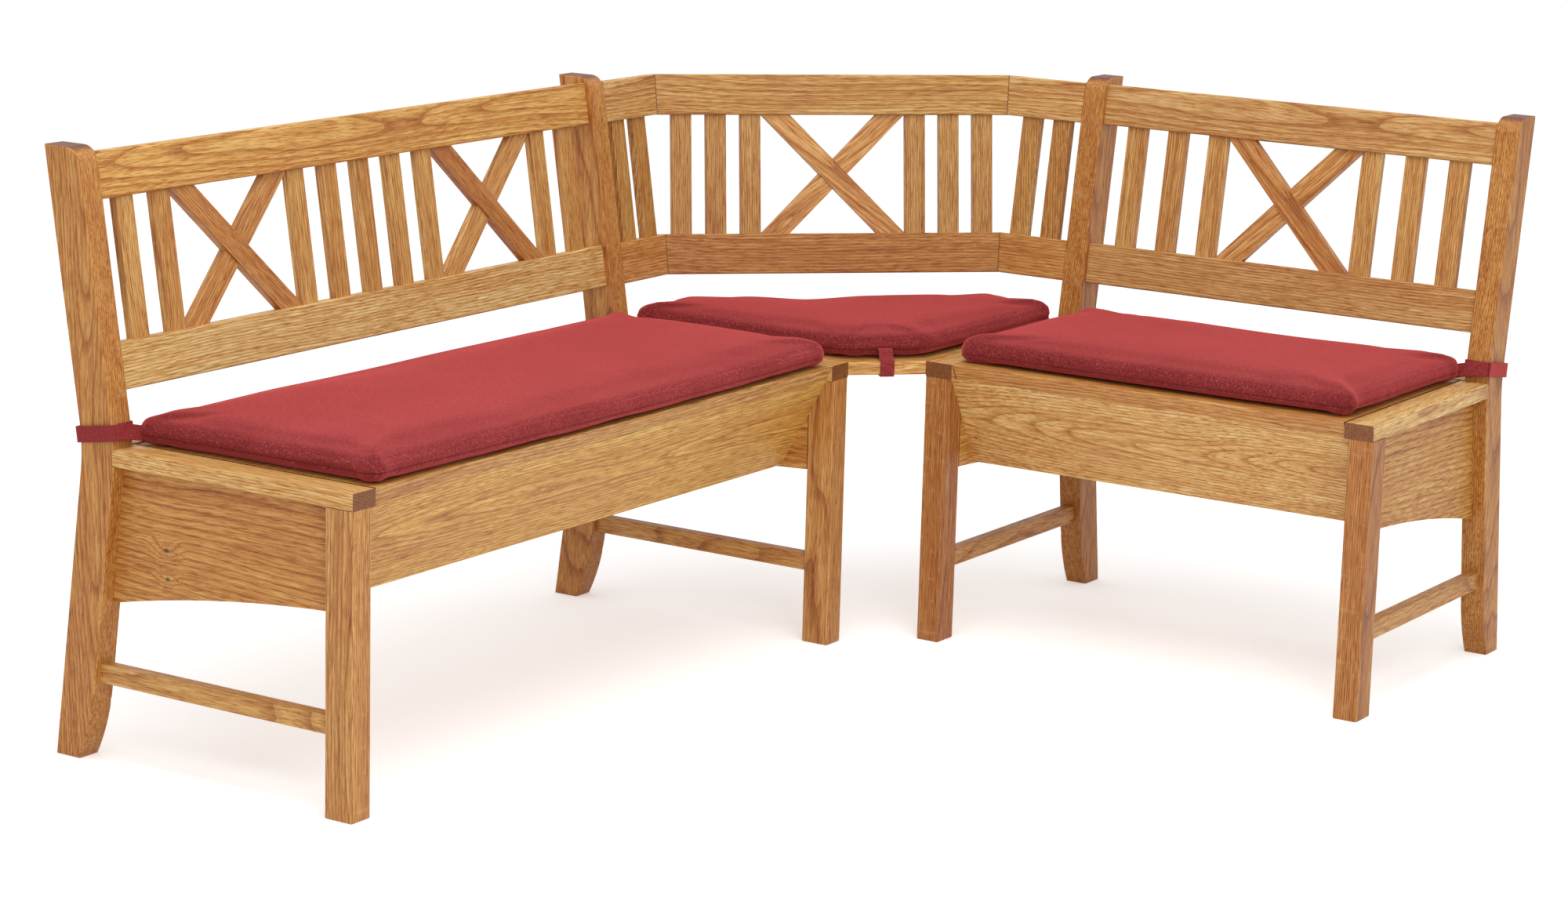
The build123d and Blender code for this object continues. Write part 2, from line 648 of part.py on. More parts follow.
MIDDLE_SLATS = [-place for place in MIDDLE_TRIO] + MIDDLE_TRIO

left_view = LEFT.back_view(WING_RAIL_INSET)
right_view = RIGHT.back_view(WING_RAIL_INSET)
middle_view = CORNER.back_view(WING_RAIL_INSET)
left_cut = [(LEFT_MITRE, Keep.TOP)]
right_cut = [(RIGHT_MITRE, Keep.TOP)]
middle_cuts = [(LEFT_MITRE, Keep.BOTTOM), (RIGHT_MITRE, Keep.BOTTOM)]
for level, foot in (("lower", LOWER_RAIL_FOOT), ("upper", UPPER_RAIL_FOOT)):
    wing_end = LONG_LENGTH + 2 * WING_REACH
    rail = make_rail(left_view, LEFT.along_axis, LONG_LENGTH, wing_end, foot, left_cut)
    save(rail, f"corner_{level}_rail_left")
    rail = make_rail(right_view, RIGHT.along_axis, -2 * WING_REACH, 0, foot, right_cut)
    save(rail, f"corner_{level}_rail_right")
    rail = make_rail(
        middle_view, CORNER.along_axis, -2 * MIDDLE_HALF, 2 * MIDDLE_HALF, foot, middle_cuts
    )
    save(rail, f"corner_{level}_rail_middle")

corner_rows = [
    (LEFT, left_view, [LONG_LENGTH + place for place in WING_SLATS]),
    (RIGHT, right_view, [-place for place in WING_SLATS]),
    (CORNER, middle_view, MIDDLE_SLATS),
]
save(make_slats(corner_rows), "corner_slats")
CORNER_BAYS = ((-CORNER_BAY / 2, CORNER_BAY / 2),)
save(make_cross_bars(middle_view, CORNER_BAYS, front=True), "corner_cross_front")
save(make_cross_bars(middle_view, CORNER_BAYS, front=False), "corner_cross_back")

# Corner seat on two battens that are fixed to the neighbouring end frames
with BuildPart() as corner_seat:
    with BuildSketch(Plane.XY.offset(SEAT_HEIGHT)):
        with BuildLine():
            Polyline(*corner_outline(CORNER_SEAT_GAP, 0, BACK_DEPTH + CORNER_SEAT_SET), close=True)
        make_face()
    extrude(amount=-CORNER_SEAT_THICK)
    fillet(corner_seat.edges().filter_by(CORNER.along_axis), radius=EASE)
save(corner_seat.part, "corner_seat")

with BuildPart() as corner_battens:
    for station, place, side in ((LEFT, LONG_LENGTH, Align.MIN), (RIGHT, 0, Align.MAX)):
        with BuildSketch(station.level(SEAT_HEIGHT - CORNER_SEAT_THICK)):
            with Locations((place, CORNER_BATTEN_FRONT)):
                Rectangle(
                    CORNER_BATTEN[0],
                    BACK_DEPTH + CORNER_BATTEN_SET - CORNER_BATTEN_FRONT,
                    align=(side, Align.MIN),
                )
        extrude(amount=-CORNER_BATTEN[1])
save(corner_battens.part, "corner_battens")

# Cushions and straps
SQUARE_PAD = [CUSHION_CORNER] * 4
CORNER_PAD = [CUSHION_NOSE] * 2 + [CUSHION_TIP] * 4
save(make_cushion(bench_outline_at(LEFT, LONG_CUSHION_FRONT), SQUARE_PAD), "left_cushion")
save(make_cushion(bench_outline_at(RIGHT, SHORT_CUSHION_FRONT), SQUARE_PAD), "right_cushion")
save(make_cushion(corner_cushion_at, CORNER_PAD), "corner_cushion")
save(make_post_strap(LEFT, 0), "left_strap")
save(make_post_strap(RIGHT, SHORT_LENGTH - LEG_WIDTH), "right_strap")
save(make_corner_strap(), "corner_strap")
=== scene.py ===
"""Looks of the corner bench: oiled oak, red woven seat cushions with straps, zinc-plated hinges."""

from math import atan2, cos, radians, sin

import bmesh
import bpy
import numpy as np
from mathutils import Matrix, Vector, noise


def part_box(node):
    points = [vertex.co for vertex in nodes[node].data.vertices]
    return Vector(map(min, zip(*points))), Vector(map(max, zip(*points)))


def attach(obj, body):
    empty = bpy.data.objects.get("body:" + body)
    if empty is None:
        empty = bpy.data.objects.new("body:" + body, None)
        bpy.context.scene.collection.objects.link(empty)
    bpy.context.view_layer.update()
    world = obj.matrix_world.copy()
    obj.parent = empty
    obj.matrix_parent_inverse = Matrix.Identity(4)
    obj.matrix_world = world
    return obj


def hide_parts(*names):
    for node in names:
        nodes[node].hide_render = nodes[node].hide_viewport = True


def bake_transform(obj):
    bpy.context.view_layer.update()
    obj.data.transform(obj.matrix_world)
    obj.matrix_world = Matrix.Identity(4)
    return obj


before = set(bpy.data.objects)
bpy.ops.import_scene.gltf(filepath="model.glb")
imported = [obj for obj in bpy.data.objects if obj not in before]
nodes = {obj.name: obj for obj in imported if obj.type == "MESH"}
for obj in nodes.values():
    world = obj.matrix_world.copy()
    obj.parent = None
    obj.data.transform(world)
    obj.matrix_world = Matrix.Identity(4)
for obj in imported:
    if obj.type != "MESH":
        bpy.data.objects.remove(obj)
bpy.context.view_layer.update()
scene = bpy.context.scene

# Sizes of the bench that its soft pieces follow, in metres
SEAT_TOP = 0.462
SEAM_RISE = 0.0158
KNEE_RISE = 0.458
BACK_DEPTH = 0.428
RAKE = radians(8.8)
SLANT = atan2(0.085, 0.151)
POST_WIDTH = 0.040
POST_DEPTH = 0.062
STRAP_WIDTH = 0.023
STRAP_THICK = 0.0022
STRAP_LIFT = 0.0018
STRAP_RISE = 0.028

UP = Vector((0, 0, 1))


class Run:
    """One run of seating: its start corner on the floor, and the ways along it and back."""

    def __init__(self, start, along, back):
        self.start = Vector(start)
        self.along = Vector(along).normalized()
        self.back = Vector(back).normalized()
        self.rake_up = self.back * sin(RAKE) + UP * cos(RAKE)
        self.rake_face = UP * sin(RAKE) - self.back * cos(RAKE)
        self.chest_face = UP * -sin(SLANT) - self.back * cos(SLANT)

    def point(self, along, back, up):
        return self.start + self.along * along + self.back * back + UP * up


first_leg_low, first_leg_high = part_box("left_leg_start")
far_leg_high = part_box("left_leg_far")[1]
short_leg_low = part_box("right_leg_start")[0]
LONG = Run((first_leg_high.x, first_leg_low.y, 0), (0, 1, 0), (-1, 0, 0))
SHORT = Run((short_leg_low.x, short_leg_low.y, 0), (1, 0, 0), (0, 1, 0))
nose_left = Vector((first_leg_high.x, far_leg_high.y, 0))
nose_right = Vector((short_leg_low.x, short_leg_low.y, 0))
CORNER = Run((nose_left + nose_right) / 2, (1, 1, 0), (-1, 1, 0))
LONG_LENGTH = far_leg_high.y - first_leg_low.y
SHORT_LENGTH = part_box("right_leg_far")[1].x - short_leg_low.x


def srgb(code):
    """Linear colour from an sRGB hex value."""
    parts = [int(code[i : i + 2], 16) / 255 for i in (1, 3, 5)]
    return tuple(p / 12.92 if p <= 0.04045 else ((p + 0.055) / 1.055) ** 2.4 for p in parts) + (1,)


def add(tree, kind, inputs=None, stops=(), **settings):
    """Add one node to a tree, with its settings, and fill its inputs with values or links.
    Stops are the places and hex colours of a colour ramp."""
    node = tree.nodes.new(kind)
    for key, value in settings.items():
        setattr(node, key, value)
    for socket, value in (inputs or {}).items():
        if isinstance(value, bpy.types.NodeSocket):
            tree.links.new(value, node.inputs[socket])
        else:
            node.inputs[socket].default_value = value
    if stops:
        elements = node.color_ramp.elements
        while len(elements) < len(stops):
            elements.new(0.5)
        for element, (place, code) in zip(elements, stops):
            element.position = place
            element.color = srgb(code)
    return node


def new_material(name):
    """An empty node material and its tree."""
    material = bpy.data.materials.new(name)
    material.use_nodes = True
    material.node_tree.nodes.clear()
    return material, material.node_tree


# Scale of a wave texture whose waves are one millimetre long
ONE_MM_WAVE = 314

# Tints laid over the oak and the cloth, and the painted shadow for the cloth's sewn seam
END_GRAIN = "#8B5A40"
KNOT_BROWN = "#4A2E1A"
RAY_FLECK = "#E9C898"
# painted shadow: the dark line drawn where the cushions' seam groove lies
SEAM_PAINTED_SHADOW = "#3E1012"


def oak(name, piece_names, grain, face, depth=60, shift=0, lean=1.5, ring=4.5):
    """Oiled solid oak, planed and sanded: rings that run out as cathedral arches where the board's
    face lies flat to them, long open pores, a few pale ray flecks and darker, thirstier end grain.

    depth and shift place the heart of the log behind and beside the middle of the first piece, in
    millimetres, and lean tips it against the board, in degrees. Rings are about ring millimetres.
    """
    low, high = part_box(piece_names[0])
    grain, face = Vector(grain).normalized(), Vector(face).normalized()
    side = face.cross(grain).normalized()
    length = (grain * cos(radians(lean)) + face * sin(radians(lean))).normalized()
    turn = Matrix((length, side, length.cross(side))).transposed()
    heart = (low + high) / 2 - face * depth / 1000 + side * shift / 1000
    material, tree = new_material(f"oiled_oak_{name}")
    spot = add(tree, "ShaderNodeTexCoord")
    board = add(
        tree,
        "ShaderNodeMapping",
        {"Vector": spot.outputs["Object"], "Location": heart, "Rotation": turn.to_euler()},
        vector_type="TEXTURE",
    ).outputs[0]

    # the heart wanders by up to 8 mm or so either way in half a metre, with 1 mm ripples on top
    bent = board
    for run, across, sway in ((0.55, 0.16, 0.030), (0.16, 0.035, 0.0045)):
        spread = add(
            tree,
            "ShaderNodeVectorMath",
            {0: board, 1: (1 / run, 1 / across, 1 / across)},
            operation="MULTIPLY",
        )
        drift = add(
            tree,
            "ShaderNodeTexNoise",
            {"Vector": spread.outputs[0], "Scale": 1.0, "Detail": 1.0, "Roughness": 0.4},
        )
        centred = add(
            tree,
            "ShaderNodeVectorMath",
            {0: drift.outputs["Color"], 1: (0.5, 0.5, 0.5)},
            operation="SUBTRACT",
        )
        bent = add(
            tree,
            "ShaderNodeVectorMath",
            {0: centred.outputs[0], 1: (sway,) * 3, 2: bent},
            operation="MULTIPLY_ADD",
        ).outputs[0]

    # knots push the rings aside and have a dark core
    shade = None
    for place, radius in KNOTS.get(name, ()):
        local = turn.transposed() @ (Vector(place) - heart)
        offset = add(tree, "ShaderNodeVectorMath", {0: board, 1: local}, operation="SUBTRACT")
        squeezed = add(
            tree, "ShaderNodeVectorMath", {0: offset.outputs[0], 1: (0.62, 1, 1)}, operation="MULTIPLY"
        )
        away = add(
            tree, "ShaderNodeVectorMath", {0: squeezed.outputs[0]}, operation="LENGTH"
        ).outputs["Value"]
        swell = add(
            tree,
            "ShaderNodeMapRange",
            {"Value": away, "From Min": 0.0, "From Max": radius * 6, "To Min": radius * 2.2, "To Max": 0.0},
            interpolation_type="SMOOTHSTEP",
        )
        push = add(tree, "ShaderNodeCombineXYZ", {"Z": swell.outputs[0]})
        bent = add(tree, "ShaderNodeVectorMath", {0: bent, 1: push.outputs[0]}, operation="ADD").outputs[0]
        core = add(
            tree,
            "ShaderNodeMapRange",
            {"Value": away, "From Min": radius * 0.35, "From Max": radius, "To Min": 1.0, "To Max": 0.0},
        ).outputs[0]
        shade = core if shade is None else add(
            tree, "ShaderNodeMath", {0: shade, 1: core}, operation="MAXIMUM"
        ).outputs[0]

    # a mitre shows as a fine dark line
    for place, way in JOINTS.get(name, ()):
        offset = add(
            tree, "ShaderNodeVectorMath", {0: spot.outputs["Object"], 1: place}, operation="SUBTRACT"
        )
        apart = add(tree, "ShaderNodeVectorMath", {0: offset.outputs[0], 1: way}, operation="DOT_PRODUCT")
        apart = add(tree, "ShaderNodeMath", {0: apart.outputs["Value"]}, operation="ABSOLUTE").outputs[0]
        line = add(
            tree,
            "ShaderNodeMapRange",
            {"Value": apart, "From Min": 0.0004, "From Max": 0.0013, "To Min": 0.75, "To Max": 0.0},
        ).outputs[0]
        shade = line if shade is None else add(
            tree, "ShaderNodeMath", {0: shade, 1: line}, operation="MAXIMUM"
        ).outputs[0]

    # rings: open, darker spring wood that closes to smooth summer wood
    rings = add(
        tree,
        "ShaderNodeTexWave",
        {"Vector": bent, "Scale": ONE_MM_WAVE / ring, "Distortion": 0.0},
        wave_type="RINGS",
        rings_direction="X",
        wave_profile="SAW",
    )
    ring_tint = add(
        tree,
        "ShaderNodeValToRGB",
        {"Fac": rings.outputs["Fac"]},
        stops=((0.0, "#CDAD8A"), (0.10, "#D8BC9A"), (0.28, "#F4E9DB"), (0.8, "#FFFDFA"), (1.0, "#F0E2D0")),
    ).outputs["Color"]

    # pores are 0.3 mm wide in real oak and are drawn 1.2 mm wide, so that they show
    thin = add(
        tree,
        "ShaderNodeVectorMath",
        {0: bent, 1: (1 / 0.030, 1 / 0.0012, 1 / 0.0012)},
        operation="MULTIPLY",
    )
    pores = add(
        tree,
        "ShaderNodeTexNoise",
        {"Vector": thin.outputs[0], "Scale": 1.0, "Detail": 2.0, "Roughness": 0.55},
    ).outputs["Fac"]
    pore_tint = add(
        tree,
        "ShaderNodeValToRGB",
        {"Fac": pores},
        stops=((0.36, "#FFFFFF"), (0.5, "#F3E9DC"), (0.61, "#D3B592"), (0.70, "#BA9770")),
    ).outputs["Color"]

    # long streaks of the log's growth, fine lines between them and broad, darker patches
    tints = [ring_tint, pore_tint]
    for base, run, across, stops in (
        (bent, 0.42, 0.011, ((0.3, "#EFDDC8"), (0.5, "#FAF3E9"), (0.68, "#FFFFFF"))),
        (bent, 0.17, 0.0034, ((0.34, "#E6CFB4"), (0.5, "#FAF2E7"), (0.64, "#FFFFFF"))),
        (board, 1.1, 0.075, ((0.32, "#F0E0CF"), (0.5, "#FAF3EA"), (0.66, "#FFFFFF"))),
    ):
        spread = add(
            tree,
            "ShaderNodeVectorMath",
            {0: base, 1: (1 / run, 1 / across, 1 / across)},
            operation="MULTIPLY",
        )
        band = add(
            tree,
            "ShaderNodeTexNoise",
            {"Vector": spread.outputs[0], "Scale": 1.0, "Detail": 2.0, "Roughness": 0.5},
        )
        tint = add(tree, "ShaderNodeValToRGB", {"Fac": band.outputs["Fac"]}, stops=stops)
        tints.append(tint.outputs["Color"])

    # pale flecks where rays of the log come to the face
    fleck = add(
        tree,
        "ShaderNodeVectorMath",
        {0: board, 1: (1 / 0.009, 1 / 0.0035, 1 / 0.016)},
        operation="MULTIPLY",
    )
    flecks = add(
        tree, "ShaderNodeTexNoise", {"Vector": fleck.outputs[0], "Scale": 1.0, "Detail": 0.0}
    ).outputs["Fac"]
    fleck_light = add(
        tree, "ShaderNodeMapRange", {"Value": flecks, "From Min": 0.64, "From Max": 0.80, "To Max": 0.10}
    ).outputs[0]

    colour = srgb(OAK_TONES[name])
    for tint in tints:
        colour = add(
            tree,
            "ShaderNodeMix",
            {"Factor": 1.0, 6: colour, 7: tint},
            data_type="RGBA",
            blend_type="MULTIPLY",
        ).outputs[2]
    colour = add(
        tree, "ShaderNodeMix", {"Factor": fleck_light, 6: colour, 7: srgb(RAY_FLECK)}, data_type="RGBA"
    ).outputs[2]
    along = add(
        tree, "ShaderNodeVectorMath", {0: spot.outputs["Normal"], 1: grain}, operation="DOT_PRODUCT"
    ).outputs["Value"]
    square = add(tree, "ShaderNodeMath", {0: along}, operation="ABSOLUTE").outputs[0]
    end_grain = add(
        tree, "ShaderNodeMapRange", {"Value": square, "From Min": 0.72, "From Max": 0.95, "To Max": 0.9}
    ).outputs[0]
    end_colour = add(
        tree,
        "ShaderNodeMix",
        {"Factor": 1.0, 6: colour, 7: srgb(END_GRAIN)},
        data_type="RGBA",
        blend_type="MULTIPLY",
    ).outputs[2]
    colour = add(
        tree, "ShaderNodeMix", {"Factor": end_grain, 6: colour, 7: end_colour}, data_type="RGBA"
    ).outputs[2]
    if shade is not None:
        colour = add(
            tree, "ShaderNodeMix", {"Factor": shade, 6: colour, 7: srgb(KNOT_BROWN)}, data_type="RGBA"
        ).outputs[2]

    rough = add(
        tree,
        "ShaderNodeMapRange",
        {"Value": pores, "From Min": 0.35, "From Max": 0.7, "To Min": 0.42, "To Max": 0.62},
    ).outputs[0]
    dent = add(
        tree,
        "ShaderNodeMapRange",
        {"Value": pores, "From Min": 0.5, "From Max": 0.72, "To Min": 1.0, "To Max": 0.0},
    ).outputs[0]
    bump = add(tree, "ShaderNodeBump", {"Strength": 0.22, "Distance": 0.0005, "Height": dent})
    surface = add(
        tree,
        "ShaderNodeBsdfPrincipled",
        {"Base Color": colour, "Roughness": rough, "IOR": 1.46, "Normal": bump.outputs[0]},
    )
    add(tree, "ShaderNodeOutputMaterial", {"Surface": surface.outputs[0]})
    for piece_name in piece_names:
        for slot in nodes[piece_name].material_slots:
            slot.material = material


def woven_cloth(name, tone, pale, dark, thread, seam=None):
    """Plain-woven upholstery cloth, piece-dyed red: a fine over-and-under thread pattern with painted shade
    in its hollows, heathered by paler and darker yarns, with soft cloudy patches a little darker at random.
    A seam gets a painted shadow: a fine dark line at its height."""
    material, tree = new_material(name)
    spot = add(tree, "ShaderNodeTexCoord")
    over = [
        add(
            tree,
            "ShaderNodeTexWave",
            {
                "Vector": spot.outputs["UV"],
                "Scale": ONE_MM_WAVE / thread,
                "Distortion": 1.1,
                "Detail": 1.0,
                "Detail Scale": 0.4,
            },
            wave_type="BANDS",
            bands_direction=way,
        ).outputs["Fac"]
        for way in ("X", "Y")
    ]
    weave = add(tree, "ShaderNodeMath", {0: over[0], 1: over[1]}, operation="MULTIPLY").outputs[0]
    yarns = add(
        tree,
        "ShaderNodeTexNoise",
        {"Vector": spot.outputs["Object"], "Scale": 1 / 0.0032, "Detail": 3.0, "Roughness": 0.7},
    ).outputs["Fac"]
    cloud = add(
        tree, "ShaderNodeTexNoise", {"Vector": spot.outputs["Object"], "Scale": 1 / 0.09, "Detail": 2.0}
    ).outputs["Fac"]
    heather = add(
        tree,
        "ShaderNodeValToRGB",
        {"Fac": yarns},
        stops=((0.3, dark), (0.47, tone), (0.55, tone), (0.7, pale)),
    ).outputs["Color"]
    # painted shade: in the hollows of the weave, where the crossed thread bands are low, the colour is
    # mixed towards the dark yarn
    deep = add(
        tree,
        "ShaderNodeMapRange",
        {"Value": weave, "From Min": 0.0, "From Max": 0.5, "To Min": 0.22, "To Max": 0.0},
    ).outputs[0]
    colour = add(
        tree, "ShaderNodeMix", {"Factor": deep, 6: heather, 7: srgb(dark)}, data_type="RGBA"
    ).outputs[2]
    veil = add(
        tree, "ShaderNodeValToRGB", {"Fac": cloud}, stops=((0.35, "#EFE2E2"), (0.62, "#FFFFFF"))
    ).outputs["Color"]
    colour = add(
        tree, "ShaderNodeMix", {"Factor": 1.0, 6: colour, 7: veil}, data_type="RGBA", blend_type="MULTIPLY"
    ).outputs[2]
    # painted shadow: a fine dark line at the seam's height, standing in for the shade in the seam's groove
    if seam is not None:
        tall = add(tree, "ShaderNodeSeparateXYZ", {0: spot.outputs["Object"]}).outputs["Z"]
        apart = add(tree, "ShaderNodeMath", {0: tall, 1: seam}, operation="SUBTRACT").outputs[0]
        apart = add(tree, "ShaderNodeMath", {0: apart}, operation="ABSOLUTE").outputs[0]
        line = add(
            tree,
            "ShaderNodeMapRange",
            {"Value": apart, "From Min": 0.0004, "From Max": 0.0016, "To Min": 0.8, "To Max": 0.0},
        ).outputs[0]
        colour = add(
            tree, "ShaderNodeMix", {"Factor": line, 6: colour, 7: srgb(SEAM_PAINTED_SHADOW)}, data_type="RGBA"
        ).outputs[2]
    fuzz = add(tree, "ShaderNodeMath", {0: weave, 1: yarns}, operation="ADD").outputs[0]
    bump = add(tree, "ShaderNodeBump", {"Strength": 0.5, "Distance": 0.0006, "Height": fuzz})
    rough = add(
        tree,
        "ShaderNodeMapRange",
        {"Value": yarns, "From Min": 0.3, "From Max": 0.7, "To Min": 0.95, "To Max": 0.8},
    ).outputs[0]
    surface = add(
        tree,
        "ShaderNodeBsdfPrincipled",
        {
            "Base Color": colour,
            "Roughness": rough,
            "IOR": 1.45,
            "Specular IOR Level": 0.2,
            "Sheen Weight": 1.0,
            "Sheen Roughness": 0.45,
            "Sheen Tint": srgb("#FF7070"),
            "Normal": bump.outputs[0],
        },
    )
    add(tree, "ShaderNodeOutputMaterial", {"Surface": surface.outputs[0]})
    return material


def plated_steel(name, tone, rough):
    """Zinc-plated sheet steel, rolled and barrel-plated: a grey sheen with faint rolling lines."""
    material, tree = new_material(name)
    spot = add(tree, "ShaderNodeTexCoord")
    stretch = add(
        tree,
        "ShaderNodeVectorMath",
        {0: spot.outputs["Object"], 1: (1 / 0.004, 1 / 0.004, 1 / 0.0005)},
        operation="MULTIPLY",
    )
    lines = add(
        tree, "ShaderNodeTexNoise", {"Vector": stretch.outputs[0], "Scale": 1.0, "Detail": 3.0}
    ).outputs["Fac"]
    colour = add(
        tree, "ShaderNodeValToRGB", {"Fac": lines}, stops=((0.3, tone), (0.7, "#D4D3CC"))
    ).outputs["Color"]
    gloss = add(
        tree,
        "ShaderNodeMapRange",
        {"Value": lines, "From Min": 0.3, "From Max": 0.7, "To Min": rough - 0.08, "To Max": rough + 0.1},
    ).outputs[0]
    bump = add(tree, "ShaderNodeBump", {"Strength": 0.1, "Distance": 0.0002, "Height": lines})
    surface = add(
        tree,
        "ShaderNodeBsdfPrincipled",
        {"Base Color": colour, "Metallic": 1.0, "Roughness": gloss, "Normal": bump.outputs[0]},
    )
    add(tree, "ShaderNodeOutputMaterial", {"Surface": surface.outputs[0]})
    return material


# Oak: the mean tone of each piece or pair of pieces
OAK_TONES = {
    "long_front": "#EED484",
    "short_front": "#F5E0A6",
    "long_lid": "#DEBE7E",
    "short_lid": "#DEB777",
    "long_chest": "#E4C482",
    "short_chest": "#E4C482",
    "left_top_rail": "#ECD18B",
    "right_top_rail": "#E0C896",
    "left_low_rail": "#F5EDBB",
    "right_low_rail": "#DCC18D",
    "left_slats": "#E2C586",
    "right_slats": "#DDBF83",
    "left_bar_front": "#D6AB6F",
    "right_bar_front": "#D9AF73",
    "left_bar_back": "#E3C085",
    "right_bar_back": "#E3C085",
    "left_end_rails": "#F5E5AD",
    "right_end_rails": "#F2E1AB",
    "left_stretchers": "#DCBA79",
    "right_stretchers": "#D7B475",
    "left_legs": "#DEBD81",
    "right_legs": "#CA9E63",
    "left_posts": "#D7AD68",
    "right_posts": "#D0A55D",
    "left_side_panels": "#DCB46C",
    "right_side_panels": "#E2C177",
    "corner_upper_rail_left": "#E8D4A0",
    "corner_upper_rail_right": "#EAD8A7",
    "corner_upper_rail_middle": "#DEC787",
    "corner_lower_rail_left": "#E4BF83",
    "corner_lower_rail_right": "#E0BB7D",
    "corner_lower_rail_middle": "#CFA461",
    "corner_slats": "#D6B97A",
    "corner_bar_front": "#EACB90",
    "corner_bar_back": "#EDCF95",
    "corner_seat": "#EBCF8F",
    "corner_battens": "#D3AC6D",
}

# Oak: small knots, with their radius
KNOTS = {
    "left_side_panels": (
        (LONG.point(0.023, 0.354, 0.325), 0.0045),
        (LONG.point(0.023, 0.352, 0.284), 0.0035),
    ),
    "short_front": (
        (SHORT.point(0.056, 0.073, 0.331), 0.0022),
        (SHORT.point(0.597, 0.041, 0.388), 0.0020),
    ),
}


def end_plane(piece_name, way):
    """The end face of a piece that looks most the given way: a place on it and its normal."""
    face = max(nodes[piece_name].data.polygons, key=lambda polygon: polygon.normal.dot(way))
    return face.center.copy(), face.normal.copy()


# Oak: mitre joints, which show as a fine dark line on both pieces
JOINTS = {}
for level in ("upper", "lower"):
    rail = f"corner_{level}_rail"
    at_left, at_right = (end_plane(f"{rail}_middle", CORNER.along * way) for way in (-1, 1))
    JOINTS[f"{rail}_left"] = (at_left,)
    JOINTS[f"{rail}_right"] = (at_right,)
    JOINTS[f"{rail}_middle"] = (at_left, at_right)

# Oak: every piece with the way its grain runs and the face that shows most
x_way, y_way = Vector((1, 0, 0)), Vector((0, 1, 0))
oak("long_front", ["left_front_panel"], y_way, LONG.chest_face, 34, 20, 1.2, 5.0)
oak("short_front", ["right_front_panel"], x_way, SHORT.chest_face, 30, 12, 4.2, 5.5)
oak("long_lid", ["left_lid", "left_lid_battens"], y_way, UP, 46, 60, 1.4)
oak("short_lid", ["right_lid", "right_lid_battens"], x_way, UP, 52, -30, 1.6)
oak("long_chest", ["left_chest_floor", "left_chest_back", "left_hinge_rail"], y_way, UP, 40, 40)
oak("short_chest", ["right_chest_floor", "right_chest_back", "right_hinge_rail"], x_way, UP, 40, 40)
for run, side, way in ((LONG, "left", y_way), (SHORT, "right", x_way)):
    across = run.back
    oak(f"{side}_top_rail", [f"{side}_upper_rail"], way, run.rake_face, 42, 14, 0.9, 5.0)
    oak(f"{side}_low_rail", [f"{side}_lower_rail"], way, run.rake_face, 26, -130, -0.6, 4.5)
    oak(f"{side}_slats", [f"{side}_slats"], run.rake_up, run.rake_face, 75, 30, 0.8, 4.0)
    fall = (run.along * 0.2 - run.rake_up * 0.2).normalized()
    rise = (run.along * 0.2 + run.rake_up * 0.2).normalized()
    oak(f"{side}_bar_front", [f"{side}_cross_front"], fall, run.rake_face, 48, 12, 1.2)
    oak(f"{side}_bar_back", [f"{side}_cross_back"], rise, run.rake_face, 52, -16, 1.4)
    ends = [f"{side}_end_rail_start", f"{side}_end_rail_far"]
    oak(f"{side}_end_rails", ends, across, UP, 58, 36, 1.6, 4.2)
    oak(f"{side}_stretchers", [f"{side}_stretchers"], across, run.along, 66, 24, 1.2, 4.0)
    oak(f"{side}_legs", [f"{side}_leg_start", f"{side}_leg_far"], UP, run.along, 88, 34, 1.0, 3.8)
    posts = [f"{side}_post_start", f"{side}_post_far"]
    oak(f"{side}_posts", posts, UP + across * 0.03, run.along, 64, 18, 1.8, 4.0)
    panels = [f"{side}_side_panels"]
    oak(f"{side}_side_panels", panels, across, run.along, 40, 300, 1.0, 5.0)
corner_rails = ((LONG, "left", y_way), (SHORT, "right", x_way), (CORNER, "middle", CORNER.along))
for level, depth, shift in (("upper", 50, 40), ("lower", 30, 120)):
    for run, side, way in corner_rails:
        piece = f"corner_{level}_rail_{side}"
        oak(piece, [piece], way, run.rake_face, depth, shift, 1.3)
oak("corner_slats", ["corner_slats"], CORNER.rake_up, CORNER.rake_face, 90, 40, 0.8, 4.0)
fall = CORNER.along * 0.25 - CORNER.rake_up * 0.2
rise = CORNER.along * 0.25 + CORNER.rake_up * 0.2
oak("corner_bar_front", ["corner_cross_front"], fall, CORNER.rake_face, 48, 12, 1.2)
oak("corner_bar_back", ["corner_cross_back"], rise, CORNER.rake_face, 50, -12, 1.2)
oak("corner_seat", ["corner_seat"], CORNER.along, UP, 44, 30, 1.2)
oak("corner_battens", ["corner_battens"], (1, -1, 0), UP, 60, 30, 1.2)

red_cloth = woven_cloth("red_woven_cloth", "#822A2C", "#B25450", "#521417", 2.6, SEAT_TOP + SEAM_RISE)
red_webbing = woven_cloth("red_strap_webbing", "#8E3133", "#A84A48", "#6B2022", 2.2)
red_thread = woven_cloth("red_sewing_thread", "#7E2628", "#A04040", "#5E1A1C", 0.8)
hinge_steel = plated_steel("zinc_plated_hinge_leaf", "#A9A9A4", 0.38)
pin_steel = plated_steel("bright_steel_pin", "#BDBDB8", 0.28)
for piece_name, steel in (
    ("left_lid_hinge_leaves", hinge_steel),
    ("right_lid_hinge_leaves", hinge_steel),
    ("rail_hinge_leaves", hinge_steel),
    ("hinge_pins", pin_steel),
):
    for slot in nodes[piece_name].material_slots:
        slot.material = steel


